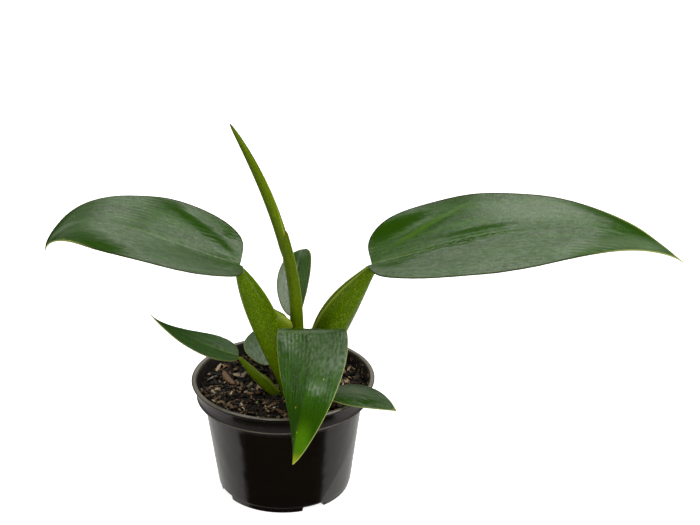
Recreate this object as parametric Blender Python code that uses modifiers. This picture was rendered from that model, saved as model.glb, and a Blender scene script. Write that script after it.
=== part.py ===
"""A young flask philodendron growing in a black plastic nursery pot.

Sizes are in millimetres and angles in degrees; the scene is in metres. +Z is up, -Y is the front
and the origin is the middle of the pot's underside. The plant is a short stem with seven leaves and
a rolled new one. Each leaf is a swollen, flask-shaped stalk that ends in a leathery blade.
"""

import math

import bmesh
import bpy
import numpy as np
from mathutils import Matrix, Vector

MM = 0.001
GAP = 0.3

# The pot: a thin-walled cup with a stepped band under its lip and a raised drain channel below.
POT_HEIGHT = 78.4
LIP_RADIUS = 60.0
LIP_INNER_RADIUS = 57.4
BAND_RADIUS = 57.0
BAND_BOTTOM = 65.8
BODY_TOP_RADIUS = 52.3
FOOT_RADIUS = 43.0
FOOT_HEIGHT = 4.0
WALL = 1.2
PAD_RADIUS = 14.0
CHANNEL_HEIGHT = 2.8
FOOT_INNER_RADIUS = 39.6
POT_SIDES = 48
DRAIN_NOTCH = (16.0, 12.0, 3.0)
DRAIN_ANGLES = (28.0, 118.0, 208.0, 298.0)
FLOOR_HOLE_RADIUS = 3.2
FLOOR_HOLE_CIRCLE = 30.0

# The soil: a coarse bark mix that stands about 10 mm below the lip.
SOIL_LEVEL = 66.8
SOIL_RINGS = 22
SOIL_DISH = 1.2
CHIP_COUNT = 210
CHIP_SPREAD = 53.0
CHIP_LENGTHS = (4.0, 11.0)
CHIP_WIDTHS = (1.6, 3.6)
CHIP_RISE = (0.8, 2.6)
CHIP_TILT = 0.25

# The stem: a short stock, nearly all of it in the soil, that carries the stalks and the new leaf.
# The hollow in the soil before it (x, y, radius, bottom) joins the holes of the front stalks.
# The stalks' own holes are cut up to HOLE_RISE above the soil's level, to clear its highest chips.
STEM_AT = (8.0, 1.5)
CROWN_HOLLOW = (7.6, -6.6, 3.4, 57.0)
HOLE_RISE = 8.0
STEM_PROFILE = ((3.0, 44.0), (7.0, 50.0), (7.0, 68.0), (5.8, 73.5), (4.0, 76.0))

# The stalks, from foot to top. belly is the largest radius, belly_at its place along the stalk and
# taper the sharpness above it; bow moves the middle of the axis towards the grooved upper side.
# The sheath is a pair of wings on that side, which stand sheath high and end at sheath_end.
STALKS = {
    "left_large": dict(
        foot=(3.8, -6.2, 63.0), foot_radius=3.6, neck_radius=2.8, belly=8.3, belly_at=0.6,
        taper=0.9, bow=2.2, sheath=6.0, sheath_end=0.64,
    ),
    "right_large": dict(
        foot=(16.0, 3.0, 66.0), foot_radius=3.6, neck_radius=2.9, belly=10.2, belly_at=0.5,
        taper=1.1, bow=5.7, sheath=0.0, sheath_end=0.5,
    ),
    "front": dict(
        foot=(10.4, -8.8, 63.0), foot_radius=3.2, neck_radius=2.0, belly=3.4, belly_at=0.5,
        taper=0.9, bow=0.0, sheath=0.0, sheath_end=0.5,
    ),
    "back": dict(
        foot=(9.6, 8.8, 66.0), foot_radius=3.0, neck_radius=1.6, belly=3.6, belly_at=0.5,
        taper=0.9, bow=0.5, sheath=0.0, sheath_end=0.5,
    ),
    "left_small": dict(
        foot=(0.5, -1.5, 61.0), foot_radius=2.4, neck_radius=1.0, belly=3.0, belly_at=0.42,
        taper=0.86, bow=-1.2, sheath=1.2, sheath_end=0.5,
    ),
    "right_small": dict(
        foot=(15.6, -5.0, 62.0), foot_radius=2.0, neck_radius=1.0, belly=2.2, belly_at=0.5,
        taper=0.9, bow=0.0, sheath=0.0, sheath_end=0.5,
    ),
    "back_small": dict(
        foot=(3.5, 6.5, 63.0), foot_radius=2.0, neck_radius=1.0, belly=2.2, belly_at=0.5,
        taper=0.9, bow=0.0, sheath=0.0, sheath_end=0.5,
    ),
}
STALK_STEPS = 12
STALK_SIDES = 16
GROOVE_DEPTH = 0.14
GROOVE_LIPS = 0.07

# The blades. azimuth is the way the midrib leaves its stalk, counted from +X towards +Y, and sweep
# is how far it turns by the tip. The midrib starts at the slope rise and ends at droop, later for a
# larger bend. roll leans the blade about its midrib, fold lifts its halves and curl bows them down.
BLADES = {
    "left_large": dict(
        base=(-25.9, -8.4, 161.4), length=143.0, width=58.0, taper=0.95, lobe=3.8,
        azimuth=186.0, sweep=-22.0, rise=23.0, droop=-85.0, bend=3.7,
        roll=25.0, twist=-6.0, fold=26.0, fold_tip=-12.0, curl=6.0,
    ),
    "right_large": dict(
        base=(59.1, 1.6, 157.9), length=224.0, width=61.5, taper=1.43, lobe=3.7,
        azimuth=14.0, sweep=0.0, rise=14.0, droop=-35.0, bend=1.47,
        roll=-21.0, twist=-46.0, fold=19.0, fold_tip=-10.0, curl=9.0,
    ),
    "front": dict(
        base=(13.7, -10.5, 110.1), length=131.0, width=44.0, taper=0.78, lobe=2.0,
        azimuth=-70.0, sweep=-52.0, rise=74.0, droop=-80.0, bend=0.63,
        roll=10.0, twist=-37.0, fold=7.0, fold_tip=-28.0, curl=4.5,
    ),
    "back": dict(
        base=(7.8, 30.4, 106.5), length=77.0, width=26.0, taper=1.06, lobe=0.6,
        azimuth=94.0, sweep=-13.0, rise=26.0, droop=-3.0, bend=1.26,
        roll=25.0, twist=-13.0, fold=25.0, fold_tip=15.0, curl=0.0,
    ),
    "left_small": dict(
        base=(-28.9, -4.0, 94.9), length=65.0, width=31.0, taper=0.97, lobe=0.7,
        azimuth=183.0, sweep=15.0, rise=22.0, droop=48.0, bend=1.7,
        roll=11.0, twist=-17.0, fold=14.0, fold_tip=-9.0, curl=11.0,
    ),
    "right_small": dict(
        base=(25.5, -16.8, 74.1), length=62.5, width=28.5, taper=1.15, lobe=1.1,
        azimuth=-38.0, sweep=-2.0, rise=19.6, droop=-14.0, bend=1.8,
        roll=12.0, twist=-29.0, fold=20.0, fold_tip=-13.0, curl=9.0,
    ),
    "back_small": dict(
        base=(-6.9, 13.3, 79.4), length=46.0, width=32.0, taper=0.9, lobe=1.0,
        azimuth=108.0, sweep=-11.0, rise=25.0, droop=-9.0, bend=1.3,
        roll=3.5, twist=12.0, fold=17.0, fold_tip=0.0, curl=6.0,
    ),
}
BLADE_THICKNESS = 0.9
BLADE_BASE_HALF = 1.8
BLADE_TIP_HALF = 0.4
BLADE_ROUND = 0.5
LOBE_REACH = 0.045

# The new leaf: a sheath that stands on the stem, and the blade still rolled up in its mouth.
SHOOT_AXIS = ((9.0, 1.0, 76.0), (6.6, 1.0, 101.8), (21.7, 1.0, 159.5), (-30.0, 1.0, 251.9))
SHEATH_TOP = 0.71
SHEATH_SLANT = 0.1
SHEATH_RADII = (4.4, 3.6)
SHEATH_WALL = 0.65
ROLL_FOOT = 0.54
ROLL_RADIUS = 2.65
ROLL_TIP = 0.3
ROLL_STEP = 0.12

GREEN_BLADE = (0.055, 0.14, 0.05)
GREEN_STALK = (0.16, 0.28, 0.015)
BROWN_STEM = (0.10, 0.075, 0.035)
BROWN_SOIL = (0.045, 0.03, 0.02)
BLACK_POT = (0.012, 0.012, 0.012)


def clear_scene():
    for obj in list(bpy.data.objects):
        bpy.data.objects.remove(obj, do_unlink=True)


def new_collection(name):
    collection = bpy.data.collections.new(name)
    bpy.context.scene.collection.children.link(collection)
    return collection


def material(name, colour, roughness, metallic=0.0):
    mat = bpy.data.materials.new(name)
    mat.use_nodes = True
    shader = mat.node_tree.nodes["Principled BSDF"]
    shader.inputs["Base Color"].default_value = (*colour, 1.0)
    shader.inputs["Roughness"].default_value = roughness
    shader.inputs["Metallic"].default_value = metallic
    return mat


def add_object(name, bm, collection, mat=None):
    """Turns a bmesh in millimetres into a smooth-shaded object in metres."""
    bmesh.ops.scale(bm, vec=(MM, MM, MM), verts=bm.verts)
    mesh = bpy.data.meshes.new(name)
    bm.to_mesh(mesh)
    bm.free()
    mesh.shade_smooth()
    mesh.set_sharp_from_angle(angle=math.radians(40))
    obj = bpy.data.objects.new(name, mesh)
    collection.objects.link(obj)
    if mat:
        mesh.materials.append(mat)
    else:
        obj.hide_render = True
        obj.display_type = "WIRE"
    return obj


def cut(obj, cutter):
    modifier = obj.modifiers.new("cut_" + cutter.name, "BOOLEAN")
    modifier.operation = "DIFFERENCE"
    modifier.solver = "EXACT"
    modifier.object = cutter


def close_tube(bm):
    """Welds the seam of a grid that was wrapped round, caps both ends and turns the faces out."""
    bmesh.ops.remove_doubles(bm, verts=bm.verts, dist=1e-4)
    rims = [edge for edge in bm.edges if edge.is_boundary]
    bmesh.ops.holes_fill(bm, edges=rims, sides=0)
    bmesh.ops.triangulate(bm, faces=bm.faces)
    bmesh.ops.recalc_face_normals(bm, faces=bm.faces)
    if bm.calc_volume(signed=True) < 0.0:
        bmesh.ops.reverse_faces(bm, faces=bm.faces)


def turned(name, profile, centre, collection, mat=None, sides=32):
    """A profile of (radius, height) points, from the top down, turned about the upright at centre."""
    bm = bmesh.new()
    points = [bm.verts.new((radius * MM, 0.0, height * MM)) for radius, height in profile]
    for upper, lower in zip(points, points[1:]):
        bm.edges.new((upper, lower))
    mesh = bpy.data.meshes.new(name)
    bm.to_mesh(mesh)
    bm.free()
    obj = bpy.data.objects.new(name, mesh)
    obj.location = (centre[0] * MM, centre[1] * MM, 0.0)
    collection.objects.link(obj)
    screw = obj.modifiers.new("turn", "SCREW")
    screw.steps = screw.render_steps = sides
    screw.use_merge_vertices = True
    screw.merge_threshold = 0.00002
    screw.use_smooth_shade = True
    if mat:
        mesh.materials.append(mat)
    else:
        obj.hide_render = True
        obj.display_type = "WIRE"
    return obj


def swell(along, largest_at, sharpness):
    """Rises from 0 at the start to 1 at largest_at and back to 0; sharpness shapes the far end."""
    near = sharpness * largest_at / (1.0 - largest_at)
    rise = np.clip(along / largest_at, 0.0, None) ** near
    return rise * np.clip((1.0 - along) / (1.0 - largest_at), 0.0, None) ** sharpness


# Pot


def pot_profile():
    """Inner floor, inner wall, lip, outer wall and underside, as one line from axis to axis."""
    inside = [
        (0.0, 1.4),
        (PAD_RADIUS - 1.2, 1.4),
        (PAD_RADIUS + 0.6, CHANNEL_HEIGHT + WALL),
        (FOOT_INNER_RADIUS + 0.6, CHANNEL_HEIGHT + WALL),
        (FOOT_RADIUS - 0.2, 6.0),
        (BODY_TOP_RADIUS - WALL - 0.1, BAND_BOTTOM - 0.6),
        (BAND_RADIUS - WALL - 0.8, BAND_BOTTOM + 1.8),
        (BAND_RADIUS - WALL + 0.5, POT_HEIGHT - 2.2),
        (LIP_INNER_RADIUS - 0.5, POT_HEIGHT - 0.4),
    ]
    lip = [
        (LIP_INNER_RADIUS + 0.2, POT_HEIGHT),
        (LIP_RADIUS - 0.8, POT_HEIGHT),
        (LIP_RADIUS, POT_HEIGHT - 0.7),
        (LIP_RADIUS, POT_HEIGHT - 1.5),
        (LIP_RADIUS - 0.8, POT_HEIGHT - 2.1),
        (BAND_RADIUS + 0.4, POT_HEIGHT - 2.4),
    ]
    outside = [
        (BAND_RADIUS - 0.4, BAND_BOTTOM + 1.6),
        (BAND_RADIUS, BAND_BOTTOM + 1.0),
        (BAND_RADIUS, BAND_BOTTOM + 0.4),
        (BAND_RADIUS - 0.6, BAND_BOTTOM),
        (BODY_TOP_RADIUS, BAND_BOTTOM - 0.2),
        (FOOT_RADIUS + 1.2, FOOT_HEIGHT + 0.4),
        (FOOT_RADIUS + 0.6, FOOT_HEIGHT),
        (FOOT_RADIUS, 0.5),
        (FOOT_RADIUS - 0.5, 0.0),
    ]
    underside = [
        (FOOT_INNER_RADIUS + 0.4, 0.0),
        (FOOT_INNER_RADIUS, CHANNEL_HEIGHT),
        (PAD_RADIUS + 1.8, CHANNEL_HEIGHT),
        (PAD_RADIUS, 0.0),
        (0.0, 0.0),
    ]
    return inside + lip + outside + underside


def build_pot(collection, cutters, mat):
    pot = turned("pot", pot_profile(), (0.0, 0.0), collection, mat, POT_SIDES)
    width, depth, height = DRAIN_NOTCH
    for number, angle in enumerate(DRAIN_ANGLES, 1):
        turn = Matrix.Rotation(math.radians(angle), 4, "Z")
        bm = bmesh.new()
        bmesh.ops.create_cube(bm, size=1.0)
        bmesh.ops.scale(bm, vec=(depth, width, 2 * height), verts=bm.verts)
        bmesh.ops.translate(bm, vec=(FOOT_RADIUS, 0.0, 0.0), verts=bm.verts)
        bmesh.ops.transform(bm, matrix=turn, verts=bm.verts)
        cut(pot, add_object(f"notch_{number}", bm, cutters))
        bm = bmesh.new()
        bmesh.ops.create_cone(
            bm, cap_ends=True, segments=16, radius1=FLOOR_HOLE_RADIUS, radius2=FLOOR_HOLE_RADIUS,
            depth=10.0,
        )
        bmesh.ops.translate(bm, vec=(FLOOR_HOLE_CIRCLE, 0.0, 0.0), verts=bm.verts)
        bmesh.ops.transform(bm, matrix=turn, verts=bm.verts)
        cut(pot, add_object(f"floor_hole_{number}", bm, cutters))
    return pot


# Soil


def chip_list():
    """Bark chips strewn at random: middle, direction, half length, half width, rise and tilt."""
    draw = np.random.default_rng(11)
    radius = CHIP_SPREAD * np.sqrt(draw.uniform(0.0, 1.0, CHIP_COUNT))
    angle = draw.uniform(0.0, 2 * math.pi, CHIP_COUNT)
    turn = draw.uniform(0.0, math.pi, CHIP_COUNT)
    return np.stack([
        radius * np.cos(angle),
        radius * np.sin(angle),
        np.cos(turn),
        np.sin(turn),
        draw.uniform(*CHIP_LENGTHS, CHIP_COUNT) / 2,
        draw.uniform(*CHIP_WIDTHS, CHIP_COUNT) / 2,
        draw.uniform(*CHIP_RISE, CHIP_COUNT),
        draw.uniform(-CHIP_TILT, CHIP_TILT, CHIP_COUNT),
    ])


def soil_height(x, y, chips):
    """The highest chip over a point, each a tilted pad with sloping sides, above gentle swells.

    At its rim the soil covers the ledge inside the pot's band."""
    cx, cy, ux, uy, half_length, half_width, rise, tilt = chips
    dx = x - cx
    dy = y - cy
    along = dx * ux + dy * uy
    across = dy * ux - dx * uy
    inside = np.minimum(half_length - np.abs(along), half_width - np.abs(across) + 0.6)
    pads = np.clip(inside / 1.4, 0.0, 1.0) * (rise + tilt * along)
    swells = 0.7 * math.sin(x / 13.0 + 0.6) * math.cos(y / 11.0) + 0.4 * math.sin(y / 6.0 - x / 9.0)
    near_stem = math.hypot(x - STEM_AT[0], y - STEM_AT[1])
    dish = SOIL_DISH * math.exp(-((near_stem / 22.0) ** 2))
    height = SOIL_LEVEL + swells - dish + pads.max() * min(1.0, max(0.25, near_stem / 26.0))
    ledge = BAND_BOTTOM + 3.0 - 0.6 * (BAND_RADIUS - WALL - 0.8 - math.hypot(x, y))
    return max(height, ledge)


def soil_rings():
    """(radius, height) of the grid's rings; height is None where the chips set it.

    The last rings run down the pot's inner wall and in across its floor."""
    outer = BAND_RADIUS - WALL - 0.8 - GAP
    top = [(1.2 + (outer - 1.4) * ring / SOIL_RINGS, None) for ring in range(SOIL_RINGS + 1)]
    return top + [
        (outer, BAND_BOTTOM + 2.0),
        (BODY_TOP_RADIUS - WALL - 0.1 - GAP, BAND_BOTTOM - 0.3),
        (FOOT_RADIUS - 0.2 - GAP, 6.3),
        (FOOT_INNER_RADIUS, CHANNEL_HEIGHT + WALL + GAP),
        (PAD_RADIUS + 0.4, CHANNEL_HEIGHT + WALL + GAP),
        (PAD_RADIUS - 1.4, 1.4 + GAP),
        (2.0, 1.4 + GAP),
    ]


def build_soil(collection, cutters, mat):
    """A grid wrapped round into a filled bowl, with a hollow between the feet of the front stalks."""
    chips = chip_list()
    rings = soil_rings()
    last = len(rings) - 1
    bm = bmesh.new()
    bmesh.ops.create_grid(bm, x_segments=POT_SIDES, y_segments=last, size=0.5)
    for vert in bm.verts:
        angle = 2 * math.pi * (vert.co.x + 0.5)
        radius, height = rings[round((vert.co.y + 0.5) * last)]
        x = radius * math.cos(angle)
        y = radius * math.sin(angle)
        vert.co = (x, y, soil_height(x, y, chips) if height is None else height)
    close_tube(bm)
    soil = add_object("soil", bm, collection, mat)
    x, y, radius, bottom = CROWN_HOLLOW
    bm = bmesh.new()
    bmesh.ops.create_cone(
        bm, cap_ends=True, segments=16, radius1=radius, radius2=radius, depth=20.0,
    )
    bmesh.ops.translate(bm, vec=(x, y, bottom + 10.0), verts=bm.verts)
    cut(soil, add_object("crown_hollow", bm, cutters))
    return soil


# Stem and stalks


def stem_outline(extra):
    """The stem's profile, from its top down, grown by extra all round."""
    sides = [(radius + extra, height) for radius, height in reversed(STEM_PROFILE)]
    return [(0.0, sides[0][1] + extra)] + [(sides[0][0], sides[0][1] + extra)] + sides[1:-1] + [
        (sides[-1][0], sides[-1][1] - extra),
        (0.0, sides[-1][1] - extra),
    ]


def tube(name, section, sides, steps, start, end, collection, mat=None):
    """A closed body swept along its own axis: section(along, angle) gives a point in millimetres."""
    bm = bmesh.new()
    bmesh.ops.create_grid(bm, x_segments=sides, y_segments=steps, size=0.5)
    for vert in bm.verts:
        angle = 2 * math.pi * (vert.co.x + 0.5)
        along = start + (end - start) * (vert.co.y + 0.5)
        vert.co = section(along, angle)
    close_tube(bm)
    return add_object(name, bm, collection, mat)


def stalk_axis(stalk, top, along):
    """A parabola from foot to top whose middle is moved by bow towards the stalk's upper side."""
    foot = Vector(stalk["foot"])
    run = top - foot
    up = (Vector((0.0, 0.0, 1.0)) - run.normalized() * run.normalized().z).normalized()
    if run.normalized().z > 0.97:
        up = Vector((0.0, 1.0, 0.0))
    point = foot + run * along + up * stalk["bow"] * 4.0 * along * (1.0 - along)
    tangent = (run + up * stalk["bow"] * 4.0 * (1.0 - 2.0 * along)).normalized()
    across = tangent.cross(up).normalized()
    return point, tangent, across, across.cross(tangent)


def stalk_point(stalk, top, along, angle, extra=0.0):
    """A round section, grooved on its upper side, where two wings stand up below sheath_end.

    angle is counted from the middle of the groove, and extra grows the section."""
    point, _, across, up = stalk_axis(stalk, top, along)
    end_radius = stalk["foot_radius"] + (stalk["neck_radius"] - stalk["foot_radius"]) * along
    body = stalk["belly"] * swell(along, stalk["belly_at"], stalk["taper"])
    radius = math.hypot(end_radius, body)
    off = abs(math.remainder(angle, 2 * math.pi))
    groove = GROOVE_DEPTH * math.exp(-((off / 0.28) ** 2))
    groove -= GROOVE_LIPS * math.exp(-(((off - 0.4) / 0.2) ** 2))
    fade = min(1.0, max(0.0, (stalk["sheath_end"] + 0.05 - along) / 0.08))
    fade *= min(1.0, max(0.0, (along - 0.25) / 0.25))
    wings = stalk["sheath"] * fade * math.exp(-(((off - 0.3) / 0.4) ** 2))
    radius += wings - groove * radius + extra
    return point + up * radius * math.cos(angle) + across * radius * math.sin(angle)


def stalk_top(stalk, blade):
    """The end of the stalk, just short of its blade."""
    base = Vector(blade["base"])
    _, tangent, _, _ = stalk_axis(stalk, base, 1.0)
    return base - tangent * (BLADE_THICKNESS / 2 + GAP)


def build_stalk(name, stem_clearance, soil, collection, cutters, mat):
    """A stalk that is cut back from the stem, and the hole in the soil that it stands in."""
    stalk = STALKS[name]
    top = stalk_top(stalk, BLADES[name])
    obj = tube(
        name + "_stalk", lambda along, angle: stalk_point(stalk, top, along, angle), STALK_SIDES,
        STALK_STEPS, 0.0, 1.0, collection, mat,
    )
    cut(obj, stem_clearance)
    foot_height = stalk["foot"][2]
    reach = (SOIL_LEVEL + HOLE_RISE - foot_height) / (top.z - foot_height)
    steps = min(STALK_STEPS, math.ceil(STALK_STEPS * reach))
    hole = tube(
        name + "_hole", lambda along, angle: stalk_point(stalk, top, along, angle, GAP),
        STALK_SIDES, steps + 1, -1.0 / STALK_STEPS, steps / STALK_STEPS, cutters,
    )
    cut(soil, hole)
    return obj


# Blades


def midrib_direction(blade, along):
    """The midrib's heading: its slope goes from rise to droop, and it turns by sweep."""
    slope = np.radians(blade["rise"] + (blade["droop"] - blade["rise"]) * along ** blade["bend"])
    heading = np.radians(blade["azimuth"] + blade["sweep"] * along)
    level = np.cos(slope)
    return np.stack([level * np.cos(heading), level * np.sin(heading), np.sin(slope)], axis=-1)


def midrib_points(blade, along):
    """The midrib, summed from its direction in small steps."""
    steps = 200
    middles = (np.arange(steps) + 0.5) / steps
    moves = midrib_direction(blade, middles) * blade["length"] / steps
    points = np.vstack([np.zeros(3), np.cumsum(moves, axis=0)]) + np.array(blade["base"])
    stations = np.linspace(0.0, 1.0, steps + 1)
    return np.stack([np.interp(along, stations, points[:, i]) for i in range(3)], axis=-1)


def blade_points(blade, along, side):
    """Points on a blade. along runs from base 0 to tip 1, side from the right edge 1 to the left -1.

    Each half is an arc that leaves the midrib at the angle fold and bows down by curl; near the
    base the edges reach back past the stalk as two lobes."""
    tangent = midrib_direction(blade, along)
    heading = np.radians(blade["azimuth"] + blade["sweep"] * along)
    level = np.stack([np.sin(heading), -np.cos(heading), np.zeros_like(heading)], axis=-1)
    upright = np.cross(level, tangent)
    roll = np.radians(blade["roll"] + blade["twist"] * along)[..., None]
    across = level * np.cos(roll) + upright * np.sin(roll)
    normal = upright * np.cos(roll) - level * np.sin(roll)
    largest_at = BLADE_ROUND / (BLADE_ROUND + blade["taper"])
    ends = BLADE_BASE_HALF + (BLADE_TIP_HALF - BLADE_BASE_HALF) * along
    half = np.hypot(blade["width"] / 2 * swell(along, largest_at, blade["taper"]), ends)
    fold = np.radians(blade["fold"] + (blade["fold_tip"] - blade["fold"]) * along)
    curl = np.radians(max(blade["curl"], 0.01))
    out = np.abs(side)
    reach = (np.sin(fold) - np.sin(fold - curl * out)) / curl * half * np.sign(side)
    lift = (np.cos(fold - curl * out) - np.cos(fold)) / curl * half
    back = -blade["lobe"] * along / LOBE_REACH * np.exp(1 - along / LOBE_REACH) * out**2
    return (
        midrib_points(blade, along)
        + across * reach[..., None]
        + normal * lift[..., None]
        + tangent * back[..., None]
    )


def build_blade(name, blade, collection, mat):
    """An open sheet of triangles on the blade's formula, thickened downwards."""
    small = blade["length"] < 100.0
    stations = 16 if small else 24
    columns = 6 if small else 8
    bm = bmesh.new()
    bmesh.ops.create_grid(bm, x_segments=columns, y_segments=stations, size=0.5)
    place = np.array([vert.co for vert in bm.verts])
    along = 0.5 - 0.5 * np.cos(math.pi * (place[:, 1] + 0.5))
    points = blade_points(blade, along, 2 * place[:, 0])
    for vert, point in zip(bm.verts, points):
        vert.co = point
    bmesh.ops.triangulate(bm, faces=bm.faces)
    obj = add_object(name, bm, collection, mat)
    thicken = obj.modifiers.new("thickness", "SOLIDIFY")
    thicken.thickness = BLADE_THICKNESS * MM
    thicken.offset = 0.0
    return obj


# New leaf


def shoot_axis(along):
    """A cubic Bezier up the new leaf, with the directions to its right and to its back."""
    a, b, c, d = (Vector(point) for point in SHOOT_AXIS)
    rest = 1.0 - along
    point = a * rest**3 + b * 3 * rest**2 * along + c * 3 * rest * along**2 + d * along**3
    tangent = (b - a) * rest**2 + (c - b) * 2 * rest * along + (d - c) * along**2
    tangent.normalize()
    across = Vector((0.0, 1.0, 0.0)).cross(tangent).normalized()
    return point, across, tangent.cross(across)


def sheath_point(along, angle, shrink=0.0):
    """A round section that narrows slowly; the mouth is cut at a slant, highest at the right."""
    slant = 0.5 - 0.5 * math.cos(angle + 0.4)
    point, across, back = shoot_axis(along - SHEATH_SLANT * slant * (along / SHEATH_TOP) ** 3)
    share = along / SHEATH_TOP
    radius = SHEATH_RADII[0] + (SHEATH_RADII[1] - SHEATH_RADII[0]) * share - shrink
    return point + across * radius * math.cos(angle) + back * radius * math.sin(angle)


def rolled_point(along, angle):
    """A scroll: the radius shrinks round the section, so that its free edge stands out as a step."""
    point, across, back = shoot_axis(along)
    share = max(0.0, (along - SHEATH_TOP) / (1.0 - SHEATH_TOP))
    radius = ROLL_TIP + (ROLL_RADIUS - ROLL_TIP) * (1.0 - share**2.2) ** 0.7
    radius *= 1.0 - ROLL_STEP * ((angle / (2 * math.pi)) % 1.0)
    return point + across * radius * math.cos(angle) + back * radius * math.sin(angle)


def build_new_leaf(collection, cutters, sheath_mat, blade_mat, stem_clearance):
    sheath = tube(
        "new_leaf_sheath", sheath_point, 16, 14, 0.0, SHEATH_TOP, collection, sheath_mat
    )
    socket = tube(
        "new_leaf_socket", lambda along, angle: sheath_point(along, angle, SHEATH_WALL), 16, 8,
        ROLL_FOOT - 0.004, SHEATH_TOP + 0.05, cutters,
    )
    cut(sheath, socket)
    cut(sheath, stem_clearance)
    tube("new_leaf_rolled_blade", rolled_point, 16, 20, ROLL_FOOT, 1.0, collection, blade_mat)


def main():
    clear_scene()
    plant = new_collection("potted_flask_philodendron")
    cutters = new_collection("cutters")
    blade_mat = material("blade_green", GREEN_BLADE, 0.35)
    stalk_mat = material("stalk_green", GREEN_STALK, 0.4)
    build_pot(plant, cutters, material("pot_black", BLACK_POT, 0.3))
    soil = build_soil(plant, cutters, material("soil_brown", BROWN_SOIL, 0.95))
    turned("stem", stem_outline(0.0), STEM_AT, plant, material("stem_brown", BROWN_STEM, 0.8), 24)
    stem_clearance = turned("stem_clearance", stem_outline(GAP), STEM_AT, cutters, None, 24)
    cut(soil, stem_clearance)
    for name, blade in BLADES.items():
        build_blade(name + "_blade", blade, plant, blade_mat)
        build_stalk(name, stem_clearance, soil, plant, cutters, stalk_mat)
    build_new_leaf(plant, cutters, stalk_mat, blade_mat, stem_clearance)


main()
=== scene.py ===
"""The looks of a young flask philodendron in a black nursery pot.

Sizes in the tables are in millimetres and angles in degrees; meshes are in metres. +Z is up and -Y
is the front. Most pieces are bodies swept through rings of points, which numpy works out as whole
arrays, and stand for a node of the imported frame.
"""

import math
from dataclasses import dataclass

import bpy
import numpy as np
from bpy.props import FloatProperty, FloatVectorProperty, IntProperty, PointerProperty
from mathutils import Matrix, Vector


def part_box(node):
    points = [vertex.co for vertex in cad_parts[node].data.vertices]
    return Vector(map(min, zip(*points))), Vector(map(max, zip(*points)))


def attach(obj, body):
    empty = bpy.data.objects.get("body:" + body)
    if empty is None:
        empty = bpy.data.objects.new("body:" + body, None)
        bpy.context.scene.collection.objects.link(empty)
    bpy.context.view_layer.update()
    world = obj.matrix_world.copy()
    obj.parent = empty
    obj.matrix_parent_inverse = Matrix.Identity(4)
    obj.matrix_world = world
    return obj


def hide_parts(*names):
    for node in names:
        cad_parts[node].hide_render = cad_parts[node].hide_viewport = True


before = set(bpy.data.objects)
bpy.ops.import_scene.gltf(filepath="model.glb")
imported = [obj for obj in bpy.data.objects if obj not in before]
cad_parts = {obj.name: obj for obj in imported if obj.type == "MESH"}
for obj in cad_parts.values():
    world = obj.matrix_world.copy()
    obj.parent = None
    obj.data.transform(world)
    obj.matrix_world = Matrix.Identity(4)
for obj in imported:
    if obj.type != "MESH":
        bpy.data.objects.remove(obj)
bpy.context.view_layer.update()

bl_info = {
    "name": "Potted flask philodendron",
    "version": (1, 0, 0),
    "blender": (4, 5, 0),
    "location": "View3D > Sidebar > Plant",
    "description": "Builds the leaves, stalks, soil and pot of a young flask philodendron",
    "category": "Add Mesh",
}

MM = 0.001
BODY = "root"

# The pot, read from the frame where a box gives it.
POT_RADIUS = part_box("pot")[1].x / MM
POT_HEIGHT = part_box("pot")[1].z / MM
BAND_RADIUS = POT_RADIUS - 3
BAND_BOTTOM = 65.8
BODY_TOP_RADIUS = 52.3
FOOT_RADIUS = 43
FOOT_INNER_RADIUS = 39.6
PAD_RADIUS = 14
WALL = 1.2
CHANNEL = 2.8
NOTCH_ANGLES = (28, 118, 208, 298)
NOTCH_HALF = 10
NOTCH_HEIGHT = 3
HOLE_RADIUS = 3.2
HOLE_CIRCLE = 30

# The soil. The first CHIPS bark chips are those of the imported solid, drawn in the same order.
SOIL_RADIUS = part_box("soil")[1].x / MM - 0.1
SOIL_LEVEL = 66.8
CHIPS = 210
FIBRES = 70
CHIP_REACH = 53.6
STEM_AT = (8, 1.5)
MARKED_CHIPS = (
    (-37.3, 12.5, -47, 13.5, 4.6, 3.2, (0.17, 0.095, 0.05)),
    (-31.7, 38.1, -10, 6, 2, 3, (0.6, 0.5, 0.38)),
    (-44.8, 25.3, 69, 9, 1.8, 3, (0.5, 0.36, 0.22)),
    (-46.4, 11.8, 57, 13, 1, 3.4, (0.3, 0.29, 0.27)),
    (-5.2, -27.2, 30, 1.8, 1.4, 2.8, (0.75, 0.7, 0.62)),
    (-15.7, 2.6, 80, 1.7, 1.3, 2.8, (0.75, 0.7, 0.62)),
    (-16.4, -18.7, 75, 4.5, 0.9, 3, (0.2, 0.34, 0.05)),
)


@dataclass
class Leaf:
    """A leaf: its stalk from foot to base, and the blade that the stalk carries.

    A dent is (share of the length, side, its length, its width, height, slant). A patch is
    (kind, share, side, its length, its width, strength, slant); shade and dashes patches are painted
    shade, and the pale patches are a painted sheen. A fleck is (run, side, radius)."""

    foot: tuple
    base: tuple
    foot_radius: float
    neck_radius: float
    belly: float
    length: float
    width: float
    taper: float
    lobe: float
    azimuth: float
    sweep: float
    rise: float
    droop: float
    bend: float
    roll: float
    twist: float
    fold: float
    fold_tip: float
    curl: float
    belly_at: float = 0.5
    stalk_taper: float = 0.9
    bow: float = 0
    sheath: float = 0
    sheath_end: float = 0.5
    near_lobe: float = 0
    groove_turn: float = 0
    blunt: float = 0.5
    neck_at: float = 0
    rim: float = 1
    rib: tuple = (0.4, 0.8, 1.2)
    groove: float = 0.5
    crease: float = 1
    sheen: float = 1
    dents: tuple = ()
    patches: tuple = ()
    flecks: tuple = ()


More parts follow.
